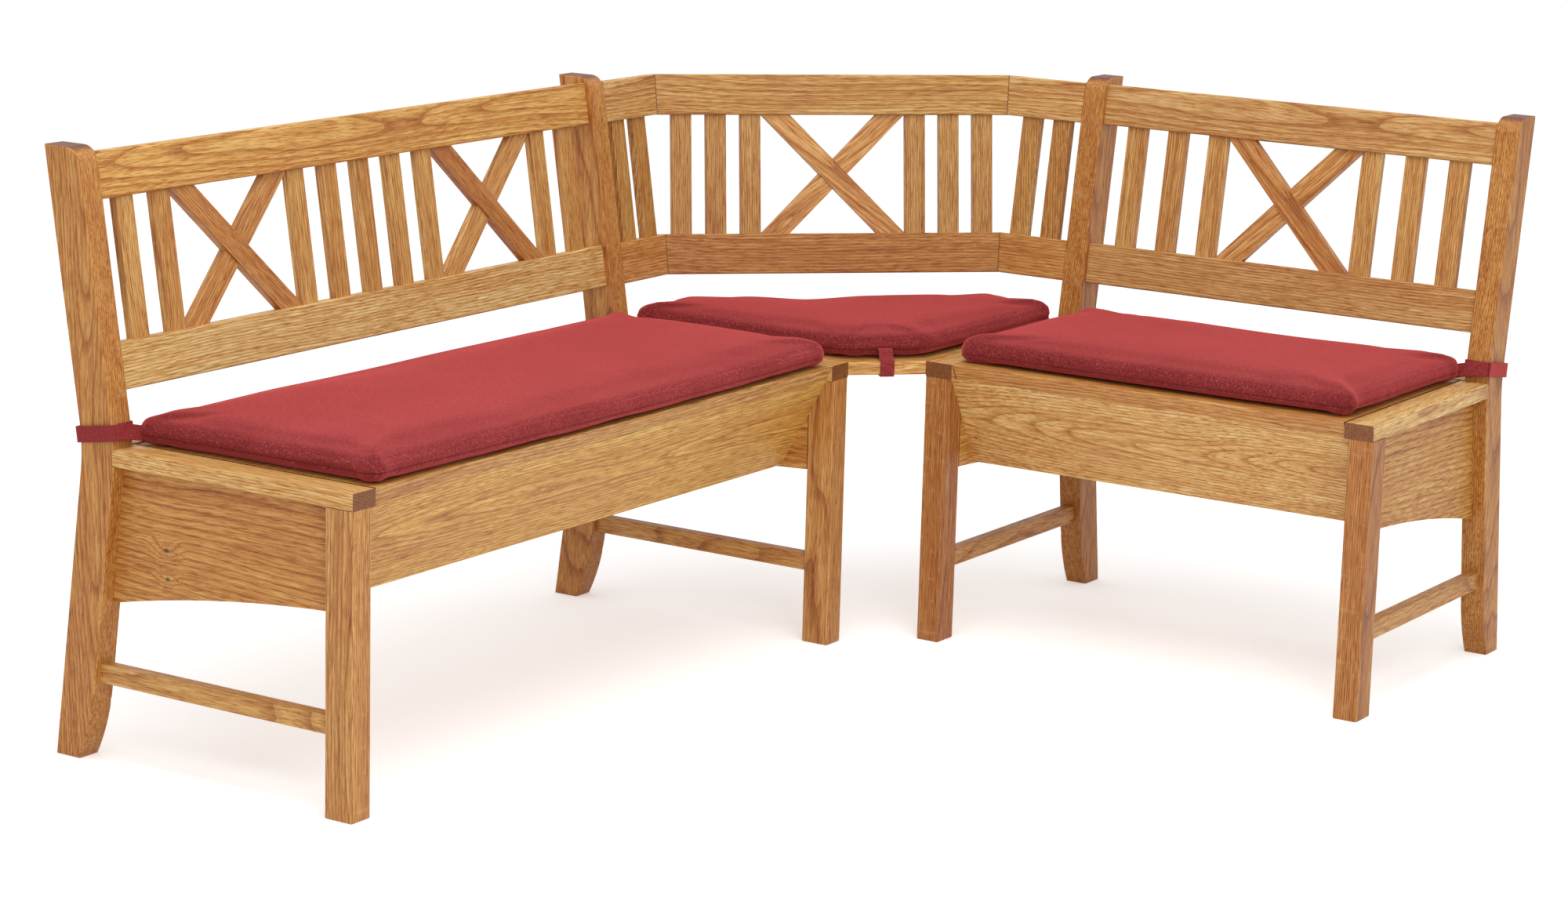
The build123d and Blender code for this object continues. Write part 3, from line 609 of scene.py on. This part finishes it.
def settle(piece):
    """Turn what a piece's modifiers give into its plain mesh."""
    bpy.context.view_layer.update()
    graph = bpy.context.evaluated_depsgraph_get()
    mesh = bpy.data.meshes.new_from_object(piece.evaluated_get(graph), depsgraph=graph)
    piece.modifiers.clear()
    piece.data = mesh
    return piece


def points_of(mesh):
    """The corner points of a mesh as an array."""
    points = np.empty(len(mesh.vertices) * 3)
    mesh.vertices.foreach_get("co", points)
    return points.reshape(-1, 3)


def move_points(mesh, points):
    """Put the corner points of a mesh at the places in an array."""
    mesh.vertices.foreach_set("co", points.ravel())
    mesh.update()


def normals_of(mesh):
    """The ways that the corner points of a mesh face, as an array."""
    normals = np.empty(len(mesh.vertices) * 3)
    mesh.vertices.foreach_get("normal", normals)
    return normals.reshape(-1, 3)


def finish_mesh(piece, material):
    """Give a piece its material, smooth shading and a flat cloth layout on all sides, in metres."""
    mesh = piece.data
    mesh.materials.clear()
    mesh.materials.append(material)
    mesh.shade_smooth()
    layout = mesh.uv_layers.new(name="cloth")
    corner_point = np.empty(len(mesh.loops), dtype=np.int32)
    mesh.loops.foreach_get("vertex_index", corner_point)
    points = points_of(mesh)[corner_point]
    facing = np.abs(normals_of(mesh)[corner_point])
    flat = points[:, [0, 1]].copy()
    sideways = facing[:, 2] < 0.6
    along_y = sideways & (facing[:, 0] > facing[:, 1])
    along_x = sideways & ~along_y
    flat[along_y] = points[along_y][:, [1, 2]]
    flat[along_x] = points[along_x][:, [0, 2]]
    layout.data.foreach_set("uv", flat.astype(np.float32).ravel())


# Covers, in metres: drawn in before they are blown up, and the most that a point then moves
START_IN = 0.0025
COVER_CAP = 0.0045
SIM_STEPS = 20
# Points round a seam stand this far apart
RING_STEP = 0.006
# How hard the corners are pushed out, and how far at most
CORNER_PUSH = 0.034
CORNER_MOST = 0.0075
# Levels further in than this run to the middle of the top
TOP_FROM = 0.04
# Side of a filled cover: share of its height, then how far it stands inside its seam, in metres
COVER_SIDE = (
    (0.0, 0.010), (0.10, 0.005), (0.36, 0.0), (0.66, 0.0), (0.84, 0.0012), (0.93, 0.004), (0.975, 0.009)
)
COVER_TOP = ((1.0, 0.020), (1.035, 0.062), (1.06, 0.110), (1.075, 0.150))


def seam_ring(mesh, height):
    """The outline of a closed form at one height, as points in order round it, and the ways out."""
    work = bmesh.new()
    work.from_mesh(mesh)
    bmesh.ops.remove_doubles(work, verts=work.verts, dist=1e-5)
    cut = bmesh.ops.bisect_plane(
        work,
        geom=work.verts[:] + work.edges[:] + work.faces[:],
        plane_co=(0, 0, height),
        plane_no=(0, 0, 1),
    )
    ring = np.array([v.co[:] for v in cut["geom_cut"] if isinstance(v, bmesh.types.BMVert)])
    work.free()
    middle = (ring.min(axis=0) + ring.max(axis=0)) / 2
    ring = ring[np.argsort(np.arctan2(ring[:, 1] - middle[1], ring[:, 0] - middle[0]))]
    closed = np.vstack([ring, ring[:1]])
    gone = np.concatenate([[0], np.cumsum(np.linalg.norm(np.diff(closed, axis=0), axis=1))])
    places = np.linspace(0, gone[-1], int(gone[-1] / RING_STEP), endpoint=False)
    ring = np.stack([np.interp(places, gone, closed[:, way]) for way in range(3)], axis=1)
    ways = np.roll(ring, -2, axis=0) - np.roll(ring, 2, axis=0)
    outward = np.stack([ways[:, 1], -ways[:, 0], np.zeros(len(ways))], axis=1)
    return ring, outward / np.linalg.norm(outward, axis=1, keepdims=True)


# Where covers are drawn out: towards the end posts by their straps, and at the short lid's inner end
PULL_REACH = 0.10
PULLS = {
    "left_cushion": ((LONG.point(0.052, 0.426, 0), (LONG.back - LONG.along) * 0.008),),
    "right_cushion": (
        (SHORT.point(SHORT_LENGTH - 0.052, 0.426, 0), (SHORT.back + SHORT.along) * 0.008),
        (SHORT.point(0.052, 0.024, 0), SHORT.along * -0.010 - SHORT.back * 0.003),
    ),
    "corner_cushion": (),
}


def blown_cover(name, node, voxel):
    """A cushion's cover: the solid's outline filled out to a boxed pad, drawn in a little and then
    blown up as cloth round foam, with the seam round its side held."""
    low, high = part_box(node)
    tall = high.z - low.z
    ring, outward = seam_ring(nodes[node].data, low.z + SEAM_RISE)
    # stuffed corners stand squarer than the sewn outline
    before, after = ring - np.roll(ring, 4, axis=0), np.roll(ring, -4, axis=0) - ring
    straight = (before * after).sum(axis=1) / np.linalg.norm(before, axis=1) / np.linalg.norm(after, axis=1)
    ring = ring + outward * np.minimum(CORNER_PUSH * (1 - straight), CORNER_MOST)[:, None]
    for place, way in PULLS[node]:
        away = np.hypot(ring[:, 0] - place.x, ring[:, 1] - place.y)
        ring = ring + np.exp(-((away / PULL_REACH) ** 2))[:, None] * np.array(way)
    middle = (ring.min(axis=0) + ring.max(axis=0)) / 2
    rings = []
    for share, inset in COVER_SIDE + COVER_TOP:
        level = ring - outward * (inset + START_IN)
        if inset > TOP_FROM:
            toward = middle - ring
            level = ring + toward * np.minimum(1, inset / np.linalg.norm(toward[:, :2], axis=1))[:, None]
        level[:, 2] = low.z + share * (tall - START_IN)
        rings.append(level)
    count = len(ring)
    faces = [
        (k * count + i, k * count + (i + 1) % count, (k + 1) * count + (i + 1) % count, (k + 1) * count + i)
        for k in range(len(rings) - 1)
        for i in range(count)
    ]
    faces.append(tuple(reversed(range(count))))
    faces.append(tuple((len(rings) - 1) * count + i for i in range(count)))
    mesh = bpy.data.meshes.new(name)
    mesh.from_pydata(np.vstack(rings).tolist(), [], faces)
    piece = bpy.data.objects.new(name, mesh)
    scene.collection.objects.link(piece)
    remesh = piece.modifiers.new("even_mesh", "REMESH")
    remesh.mode = "VOXEL"
    remesh.voxel_size = voxel
    soften = piece.modifiers.new("soften", "SMOOTH")
    soften.factor = 0.5
    soften.iterations = 4
    settle(piece)
    rest = points_of(piece.data)
    seam = low.z + SEAM_RISE
    held = piece.vertex_groups.new(name="held")
    sideways = np.abs(normals_of(piece.data)[:, 2]) < 0.75
    for index in np.nonzero(sideways & (np.abs(rest[:, 2] - seam) < voxel * 0.75))[0]:
        held.add([int(index)], 1.0, "REPLACE")
    cloth = piece.modifiers.new("cover", "CLOTH")
    cloth.settings.quality = 4
    cloth.settings.use_pressure = True
    cloth.settings.uniform_pressure_force = 4.0
    cloth.settings.effector_weights.gravity = 0.0
    cloth.settings.vertex_group_mass = "held"
    cloth.point_cache.frame_end = SIM_STEPS
    for step in range(1, SIM_STEPS + 1):
        scene.frame_set(step)
    settle(piece)
    scene.frame_set(1)
    points = points_of(piece.data)
    shift = points - rest
    reach = np.linalg.norm(shift, axis=1, keepdims=True)
    points = rest + shift * np.minimum(1.0, COVER_CAP / np.maximum(reach, 1e-9))
    points[:, 2] = np.maximum(points[:, 2], low.z)
    move_points(piece.data, points)
    piece.vertex_groups.clear()
    smooth = piece.modifiers.new("smooth", "SUBSURF")
    smooth.levels = smooth.render_levels = 1
    return settle(piece)


# Sewn seam, in metres: its groove, the rolls of cloth beside it, the puckers along it and the uneven top
GROOVE_DEEP, GROOVE_WIDE = 0.0020, 0.0026
ROLL_HIGH = 0.0008
PUCKER_HIGH, PUCKER_REACH = 0.0007, 0.012
SWELL_HIGH = 0.0022


def sew_cushion(name, node, voxel, sag=None):
    """A seat cushion with a sewn seam round its side, fine puckers along it and an uneven top."""
    piece = blown_cover(name, node, voxel)
    low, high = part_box(node)
    seam = low.z + SEAM_RISE
    points, facing = points_of(piece.data), normals_of(piece.data)
    rise = points[:, 2] - seam
    sideways = np.clip((0.85 - np.abs(facing[:, 2])) / 0.35, 0, 1)
    groove = np.exp(-((rise / GROOVE_WIDE) ** 2))
    roll = np.exp(-(((rise - 0.0075) / 0.0045) ** 2)) + 0.6 * np.exp(-(((rise + 0.0065) / 0.004) ** 2))
    ripple = np.array([noise.noise(Vector(p) * 55.0) for p in points])
    swell = np.array([noise.noise(Vector((p[0], p[1], 0)) * 4.2) for p in points])
    pucker = PUCKER_HIGH * ripple * np.exp(-((rise / PUCKER_REACH) ** 2))
    out = sideways * (-GROOVE_DEEP * groove + ROLL_HIGH * roll + pucker)
    points = points + facing * out[:, None]
    top = np.clip((points[:, 2] - seam) / (high.z - seam), 0, 1)
    points[:, 2] += swell * SWELL_HIGH * top
    if sag is not None:
        points[:, 2] += sag(points) * top
    points[:, 2] = np.maximum(points[:, 2], low.z)
    move_points(piece.data, points)
    finish_mesh(piece, red_cloth)
    return piece


def soft_spot(points, centre, reach, height):
    """A round rise or dip that fades out over its reach."""
    away = np.hypot(points[:, 0] - centre.x, points[:, 1] - centre.y) / reach
    return height * np.exp(-(away**2))


def long_sag(points):
    """The long cushion sits a little fuller at its rear outer corner."""
    return soft_spot(points, LONG.point(0.24, 0.33, 0), 0.13, 0.004)


def corner_sag(points):
    """The corner cushion is creased down at the left of its rear edge."""
    return soft_spot(points, CORNER.point(-0.06, 0.34, 0), 0.07, -0.006)


long_cushion = sew_cushion("long_seat_cushion", "left_cushion", 0.0068, long_sag)
short_cushion = sew_cushion("short_seat_cushion", "right_cushion", 0.006)
corner_cushion = sew_cushion("corner_seat_cushion", "corner_cushion", 0.006, corner_sag)
CUSHIONS = (
    (long_cushion, "left_cushion", "left_lid"),
    (short_cushion, "right_cushion", "right_lid"),
    (corner_cushion, "corner_cushion", "bench_frame"),
)
for cushion, node, body in CUSHIONS:
    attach(cushion, body)
    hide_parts(node)


def along_path(points, step):
    """Points every step along a line through the given points, with its corners rounded off."""
    line = bpy.data.curves.new("path", "CURVE")
    line.dimensions = "3D"
    spline = line.splines.new("NURBS")
    spline.points.add(len(points) - 1)
    for place, point in zip(spline.points, points):
        place.co = (*point, 1)
    spline.order_u = 3
    spline.use_endpoint_u = True
    spline.resolution_u = 12
    holder = bpy.data.objects.new("path", line)
    mesh = bpy.data.meshes.new_from_object(holder)
    smooth = points_of(mesh)
    bpy.data.objects.remove(holder)
    bpy.data.meshes.remove(mesh)
    gone = np.concatenate([[0], np.cumsum(np.linalg.norm(np.diff(smooth, axis=0), axis=1))])
    places = np.linspace(0, gone[-1], max(2, int(round(gone[-1] / step)) + 1))
    return np.stack([np.interp(places, gone, smooth[:, way]) for way in range(3)], axis=1), gone[-1]


# Cross-section of the webbing, as shares of its width and thickness: a flat band with thicker woven edges
BAND = ((-0.5, -0.3), (-0.46, -0.5), (-0.40, -0.42), (0.40, -0.42), (0.46, -0.5), (0.5, -0.3))
BAND = BAND + tuple((-a, -b) for a, b in BAND)


def webbing(name, points, across, step=0.004):
    """A strap of flat webbing along a path, its width lying along across at every point.
    Returns the piece and the length of the strap."""
    path, length = along_path(points, step)
    across = np.array(across, float) / np.linalg.norm(across)
    ahead = np.gradient(path, axis=0)
    outward = np.cross(across, ahead)
    outward /= np.linalg.norm(outward, axis=1, keepdims=True)
    rings = np.array([
        path + across * (a * STRAP_WIDTH) + outward * (b * STRAP_THICK) for a, b in BAND
    ]).transpose(1, 0, 2)
    count, side = len(path), len(BAND)
    faces = [
        (i * side + k, i * side + (k + 1) % side, (i + 1) * side + (k + 1) % side, (i + 1) * side + k)
        for i in range(count - 1)
        for k in range(side)
    ]
    faces.append(tuple(reversed(range(side))))
    faces.append(tuple((count - 1) * side + k for k in range(side)))
    mesh = bpy.data.meshes.new(name)
    mesh.from_pydata(rings.reshape(-1, 3).tolist(), [], faces)
    work = bmesh.new()
    work.from_mesh(mesh)
    bmesh.ops.recalc_face_normals(work, faces=work.faces)
    work.to_mesh(mesh)
    work.free()
    layout = mesh.uv_layers.new(name="cloth")
    places = np.linspace(0, length, count)
    widths = np.array([a for a, b in BAND]) * STRAP_WIDTH
    for loop in mesh.loops:
        row, column = divmod(loop.vertex_index, side)
        layout.data[loop.index].uv = (places[row], widths[column])
    mesh.materials.append(red_webbing)
    mesh.shade_smooth()
    mesh.set_sharp_from_angle(angle=radians(50))
    piece = bpy.data.objects.new(name, mesh)
    scene.collection.objects.link(piece)
    return piece, length


def round_post(run, start, outer):
    """Places round an end post, square to its rake: u along the run from the post's outer face
    inwards, v back from its front, both in metres."""
    foot = run.point(start, BACK_DEPTH, KNEE_RISE) + run.rake_up * STRAP_RISE
    back = (run.back * cos(RAKE) - UP * sin(RAKE)).normalized()
    return lambda u, v, lift=0.0: foot + run.along * (u * outer) + back * v + run.rake_up * lift


def tie_post(side, run, start, outer, cushion_corner):
    """The hook-and-loop strap of a bench cushion: a band round the end post, whose end overlaps on
    the outer face, and a short tail from the cushion's rear corner."""
    at = round_post(run, start, outer)
    gap, deep, wide = STRAP_LIFT, POST_DEPTH * cos(RAKE) + 0.0022, POST_WIDTH
    lap = gap + STRAP_THICK * 1.15
    loop = [
        at(0.012, -gap), at(0.030, -gap), at(wide + gap, -gap), at(wide + gap, -gap), at(wide + gap, 0.02),
        at(wide + gap, deep - 0.01), at(wide + gap, deep + gap), at(wide + gap, deep + gap),
        at(0.02, deep + gap), at(-lap, deep + gap), at(-lap, deep + gap), at(-lap, deep - 0.012),
        at(-lap, 0.024), at(-lap, 0.004), at(-lap - 0.0006, -0.009),
    ]
    band, length = webbing(f"{side}_post_strap", loop, run.rake_up)
    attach(band, "bench_frame")
    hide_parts(f"{side}_strap")
    tail_points = [
        at(-gap, 0.014), at(-gap, 0.004), at(-gap, -gap - 0.0024), at(0.004, -gap - 0.0024),
        at(0.016, -gap - 0.0034, -0.001), at(0.030, -gap - 0.008, -0.003),
        cushion_corner - run.back * 0.002, cushion_corner - run.back * 0.010,
    ]
    tail, reach = webbing(f"{side}_strap_tail", tail_points, run.rake_up, 0.0025)
    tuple(at(0.010, -0.004))
    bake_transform(tail)


# Where each tail is sewn into the rear outer corner of its cushion
TAIL_ALONG, TAIL_BACK, TAIL_RISE = 0.058, 0.422, 0.0150
long_corner = LONG.point(TAIL_ALONG, TAIL_BACK, SEAT_TOP + TAIL_RISE)
short_corner = SHORT.point(SHORT_LENGTH - TAIL_ALONG, TAIL_BACK, SEAT_TOP + TAIL_RISE)
tie_post("left", LONG, 0.0, 1, long_corner)
tie_post("right", SHORT, SHORT_LENGTH, -1, short_corner)

# Corner strap: how far back and up its path runs, from the seam over the seat's front edge to its underside
NOSE = (
    (0.0250, 0.4795), (0.0160, 0.4792), (0.0112, 0.4765), (0.0100, 0.4705), (0.0045, 0.4648),
    (-0.0016, 0.4632), (-0.0016, 0.4630), (-0.0018, 0.4540), (-0.0018, 0.4382), (-0.0018, 0.4382),
    (0.0040, 0.4382), (0.0300, 0.4384), (0.0550, 0.4384),
)
nose_points = [CORNER.point(0, back, up) for back, up in NOSE]
corner_band, corner_length = webbing("corner_strap_band", nose_points, CORNER.along)
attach(corner_band, "bench_frame")
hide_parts("corner_strap")


def tree_of_nodes(name, inputs):
    """A geometry node tree with named number inputs and one mesh output."""
    tree = bpy.data.node_groups.new(name, "GeometryNodeTree")
    tree.interface.new_socket("Geometry", in_out="INPUT", socket_type="NodeSocketGeometry")
    for label, value in inputs:
        number = tree.interface.new_socket(label, in_out="INPUT", socket_type="NodeSocketFloat")
        number.default_value = value
    tree.interface.new_socket("Geometry", in_out="OUTPUT", socket_type="NodeSocketGeometry")
    return tree, add(tree, "NodeGroupInput").outputs


def run_tree(piece, tree, values):
    """Put a tree on a piece, set its inputs and keep the plain mesh that it makes."""
    step = piece.modifiers.new(tree.name, "NODES")
    step.node_group = tree
    for item in tree.interface.items_tree:
        if item.in_out == "INPUT" and item.name in values:
            step[item.identifier] = values[item.name]
    bpy.context.view_layer.update()
    graph = bpy.context.evaluated_depsgraph_get()
    mesh = bpy.data.meshes.new_from_object(piece.evaluated_get(graph), depsgraph=graph)
    name = piece.name
    bpy.data.objects.remove(piece)
    mesh.name = name
    made = bpy.data.objects.new(name, mesh)
    scene.collection.objects.link(made)
    return made


# Stitches that follow a seam: small capsules of thread, laid end to end with a gap
STITCH_PITCH = 0.0075
STITCH = (("Pitch", STITCH_PITCH), ("Length", 0.0046), ("Thread", 0.0009))
stitch_tree, given = tree_of_nodes("seam_stitches", STITCH)
seam_line = add(stitch_tree, "GeometryNodeMeshToCurve", {"Mesh": given["Geometry"]})
spaced = add(
    stitch_tree,
    "GeometryNodeResampleCurve",
    {"Curve": seam_line.outputs[0], "Length": given["Pitch"]},
    mode="LENGTH",
)
way = add(stitch_tree, "GeometryNodeInputTangent")
aimed = add(stitch_tree, "FunctionNodeAlignRotationToVector", {"Vector": way.outputs[0]}, axis="X")
bead = add(stitch_tree, "GeometryNodeMeshUVSphere", {"Segments": 6, "Rings": 5, "Radius": 0.5})
thick = given["Thread"]
shape = add(stitch_tree, "ShaderNodeCombineXYZ", {0: given["Length"], 1: thick, 2: thick})
laid = add(
    stitch_tree,
    "GeometryNodeInstanceOnPoints",
    {
        "Points": spaced.outputs[0],
        "Instance": bead.outputs[0],
        "Rotation": aimed.outputs[0],
        "Scale": shape.outputs[0],
    },
)
real = add(stitch_tree, "GeometryNodeRealizeInstances", {0: laid.outputs[0]})
coloured = add(
    stitch_tree, "GeometryNodeSetMaterial", {"Geometry": real.outputs[0], "Material": red_thread}
)
add(stitch_tree, "NodeGroupOutput", {0: coloured.outputs[0]})


def seam_path(cushion, node, lift):
    """The cushion's outline at its seam, as a closed line of edges just outside the cloth."""
    ring, outward = seam_ring(cushion.data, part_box(node)[0].z + SEAM_RISE)
    mesh = bpy.data.meshes.new("seam")
    edges = [(i, (i + 1) % len(ring)) for i in range(len(ring))]
    mesh.from_pydata((ring + outward * lift).tolist(), edges, [])
    holder = bpy.data.objects.new(f"{cushion.name}_stitches", mesh)
    scene.collection.objects.link(holder)
    return holder


for cushion, node, body in CUSHIONS:
    stitches = run_tree(seam_path(cushion, node, 0.0002), stitch_tree, {"Pitch": STITCH_PITCH})
    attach(stitches, body)

# Countersunk screws on the hinge leaves: a shallow dished head with a cross cut into it
SCREW_HEAD = 0.0056
screw_tree, given = tree_of_nodes("leaf_screws", (("Head", SCREW_HEAD), ("Rise", 0.0005)))
points = add(screw_tree, "GeometryNodeMeshToPoints", {"Mesh": given["Geometry"]})
facing = add(screw_tree, "GeometryNodeInputNormal")
stand = add(screw_tree, "FunctionNodeAlignRotationToVector", {"Vector": facing.outputs[0]}, axis="Z")
dome = add(
    screw_tree,
    "GeometryNodeMeshCone",
    {
        "Vertices": 16,
        "Side Segments": 2,
        "Fill Segments": 1,
        "Radius Top": 0.36,
        "Radius Bottom": 0.5,
        "Depth": 1.0,
    },
)
blade = add(screw_tree, "GeometryNodeMeshCube", {"Size": (0.62, 0.13, 0.5)})
cross = add(screw_tree, "GeometryNodeMeshCube", {"Size": (0.13, 0.62, 0.5)})
plus = add(screw_tree, "GeometryNodeJoinGeometry")
for arm in (blade, cross):
    screw_tree.links.new(arm.outputs[0], plus.inputs[0])
sunk = add(screw_tree, "GeometryNodeTransform", {"Geometry": plus.outputs[0], "Translation": (0, 0, 1.0)})
head = add(
    screw_tree,
    "GeometryNodeMeshBoolean",
    {"Mesh 1": dome.outputs[0], "Mesh 2": sunk.outputs[0]},
    operation="DIFFERENCE",
)
size = add(screw_tree, "ShaderNodeCombineXYZ", {0: given["Head"], 1: given["Head"], 2: given["Rise"]})
heads = add(
    screw_tree,
    "GeometryNodeInstanceOnPoints",
    {
        "Points": points.outputs[0],
        "Instance": head.outputs[0],
        "Rotation": stand.outputs[0],
        "Scale": size.outputs[0],
    },
)
real = add(screw_tree, "GeometryNodeRealizeInstances", {0: heads.outputs[0]})
coloured = add(screw_tree, "GeometryNodeSetMaterial", {"Geometry": real.outputs[0], "Material": pin_steel})
add(screw_tree, "NodeGroupOutput", {0: coloured.outputs[0]})

# Hinges: the ends of each lid, and the middle of the long one
HINGE_END = 0.150
HINGE_AXIS = 0.436
LEAF_FACE = 0.0024
SCREW_DROP = 0.0125
SCREW_STEPS = (-0.021, 0.0, 0.021)
# Half the size of the small face that a screw stands on
SCREW_SEAT = 0.0001


def leaf_screws(name, hinges, depth, outward, body):
    """Three screws on each leaf, at the given depth and facing outward along the run's back."""
    corners, faces = [], []
    for run, centre in hinges:
        for step in SCREW_STEPS:
            place = run.point(centre + step, depth, SEAT_TOP - SCREW_DROP)
            first = len(corners)
            right = UP.cross(run.back * outward) * SCREW_SEAT
            rise = UP * SCREW_SEAT
            corners += [place - right - rise, place + right - rise, place + rise]
            faces.append((first, first + 1, first + 2))
    mesh = bpy.data.meshes.new(name)
    mesh.from_pydata([tuple(corner) for corner in corners], [], faces)
    holder = bpy.data.objects.new(name, mesh)
    scene.collection.objects.link(holder)
    made = run_tree(holder, screw_tree, {"Head": SCREW_HEAD})
    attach(made, body)


long_hinges = [(LONG, HINGE_END), (LONG, LONG_LENGTH / 2), (LONG, LONG_LENGTH - HINGE_END)]
short_hinges = [(SHORT, HINGE_END), (SHORT, SHORT_LENGTH - HINGE_END)]
leaf_screws("long_lid_leaf_screws", long_hinges, HINGE_AXIS - LEAF_FACE, 1, "left_lid")
leaf_screws("short_lid_leaf_screws", short_hinges, HINGE_AXIS - LEAF_FACE, 1, "right_lid")
leaf_screws("rail_leaf_screws", long_hinges + short_hinges, HINGE_AXIS + LEAF_FACE, -1, "bench_frame")

# Stage: white floor and studio light
floor_mesh = bpy.data.meshes.new("floor")
FLOOR_REACH = 30.0
floor_corners = [(x * FLOOR_REACH, y * FLOOR_REACH, 0) for x, y in ((-1, -1), (1, -1), (1, 1), (-1, 1))]
floor_mesh.from_pydata(floor_corners, [], [(0, 1, 2, 3)])
floor = bpy.data.objects.new("floor", floor_mesh)
scene.collection.objects.link(floor)
paper, tree = new_material("white_paper_floor")
sight = add(tree, "ShaderNodeLightPath")
direct = add(
    tree,
    "ShaderNodeMath",
    {0: sight.outputs["Is Camera Ray"], 1: sight.outputs["Is Glossy Ray"]},
    operation="MAXIMUM",
)
seen = add(
    tree,
    "ShaderNodeMath",
    {0: direct.outputs[0], 1: sight.outputs["Is Transmission Ray"]},
    operation="MAXIMUM",
)
sheet = add(tree, "ShaderNodeBsdfDiffuse", {"Color": srgb("#F2F2F2")})
glow = add(tree, "ShaderNodeEmission", {"Color": (1, 1, 1, 1), "Strength": 0.40})
none = add(tree, "ShaderNodeEmission", {"Color": (0, 0, 0, 1), "Strength": 0.0})
lift = add(tree, "ShaderNodeMixShader", {0: seen.outputs[0], 1: none.outputs[0], 2: glow.outputs[0]})
both = add(tree, "ShaderNodeAddShader", {0: sheet.outputs[0], 1: lift.outputs[0]})
add(tree, "ShaderNodeOutputMaterial", {"Surface": both.outputs[0]})
floor_mesh.materials.append(paper)

world = bpy.data.worlds.new("studio")
scene.world = world
world.use_nodes = True
tree = world.node_tree
tree.nodes.clear()
sight = add(tree, "ShaderNodeLightPath")
direct = add(
    tree,
    "ShaderNodeMath",
    {0: sight.outputs["Is Camera Ray"], 1: sight.outputs["Is Glossy Ray"]},
    operation="MAXIMUM",
)
clear = add(
    tree,
    "ShaderNodeMath",
    {0: direct.outputs[0], 1: sight.outputs["Is Transmission Ray"]},
    operation="MAXIMUM",
)
around = add(tree, "ShaderNodeBackground", {"Color": (1, 1, 1, 1), "Strength": 0.70})
white = add(tree, "ShaderNodeBackground", {"Color": (1, 1, 1, 1), "Strength": 1.0})
sky = add(tree, "ShaderNodeMixShader", {0: clear.outputs[0], 1: around.outputs[0], 2: white.outputs[0]})
add(tree, "ShaderNodeOutputWorld", {"Surface": sky.outputs[0]})


def soft_box(name, place, aim, size, watts):
    """A square studio lamp that faces a point."""
    lamp = bpy.data.lights.new(name, "AREA")
    lamp.shape = "SQUARE"
    lamp.size = size
    lamp.energy = watts
    holder = bpy.data.objects.new(name, lamp)
    turn = (Vector(aim) - Vector(place)).to_track_quat("-Z", "Y").to_matrix().to_4x4()
    holder.matrix_world = Matrix.Translation(place) @ turn
    scene.collection.objects.link(holder)


soft_box("overhead_lamp", (0.6, -0.9, 4.2), (0, 0, 0.4), 3.0, 80)
soft_box("front_lamp", (3.4, -3.6, 2.6), (0, 0, 0.4), 2.4, 66)

# Camera at the photograph's place: turned, tipped down and rolled by these degrees
CAMERA_PLACE = (3.0150, -4.7971, 1.6061)
YAW, PITCH, ROLL = radians(32.886), radians(12.197), radians(1.599)
ahead = Vector((-sin(YAW) * cos(PITCH), cos(YAW) * cos(PITCH), -sin(PITCH)))
level = Vector((cos(YAW), sin(YAW), 0))
upright = level.cross(ahead)
camera_x = level * cos(ROLL) + upright * sin(ROLL)
camera_y = upright * cos(ROLL) - level * sin(ROLL)
lens = bpy.data.cameras.new("photo_view")
lens.sensor_fit = "HORIZONTAL"
lens.sensor_width = 36.0
lens.lens = 87.513
camera = bpy.data.objects.new("photo_view", lens)
camera_turn = Matrix((camera_x, camera_y, -ahead)).transposed().to_4x4()
camera.matrix_world = Matrix.Translation(CAMERA_PLACE) @ camera_turn
scene.collection.objects.link(camera)
scene.camera = camera
scene.view_settings.view_transform = "Standard"
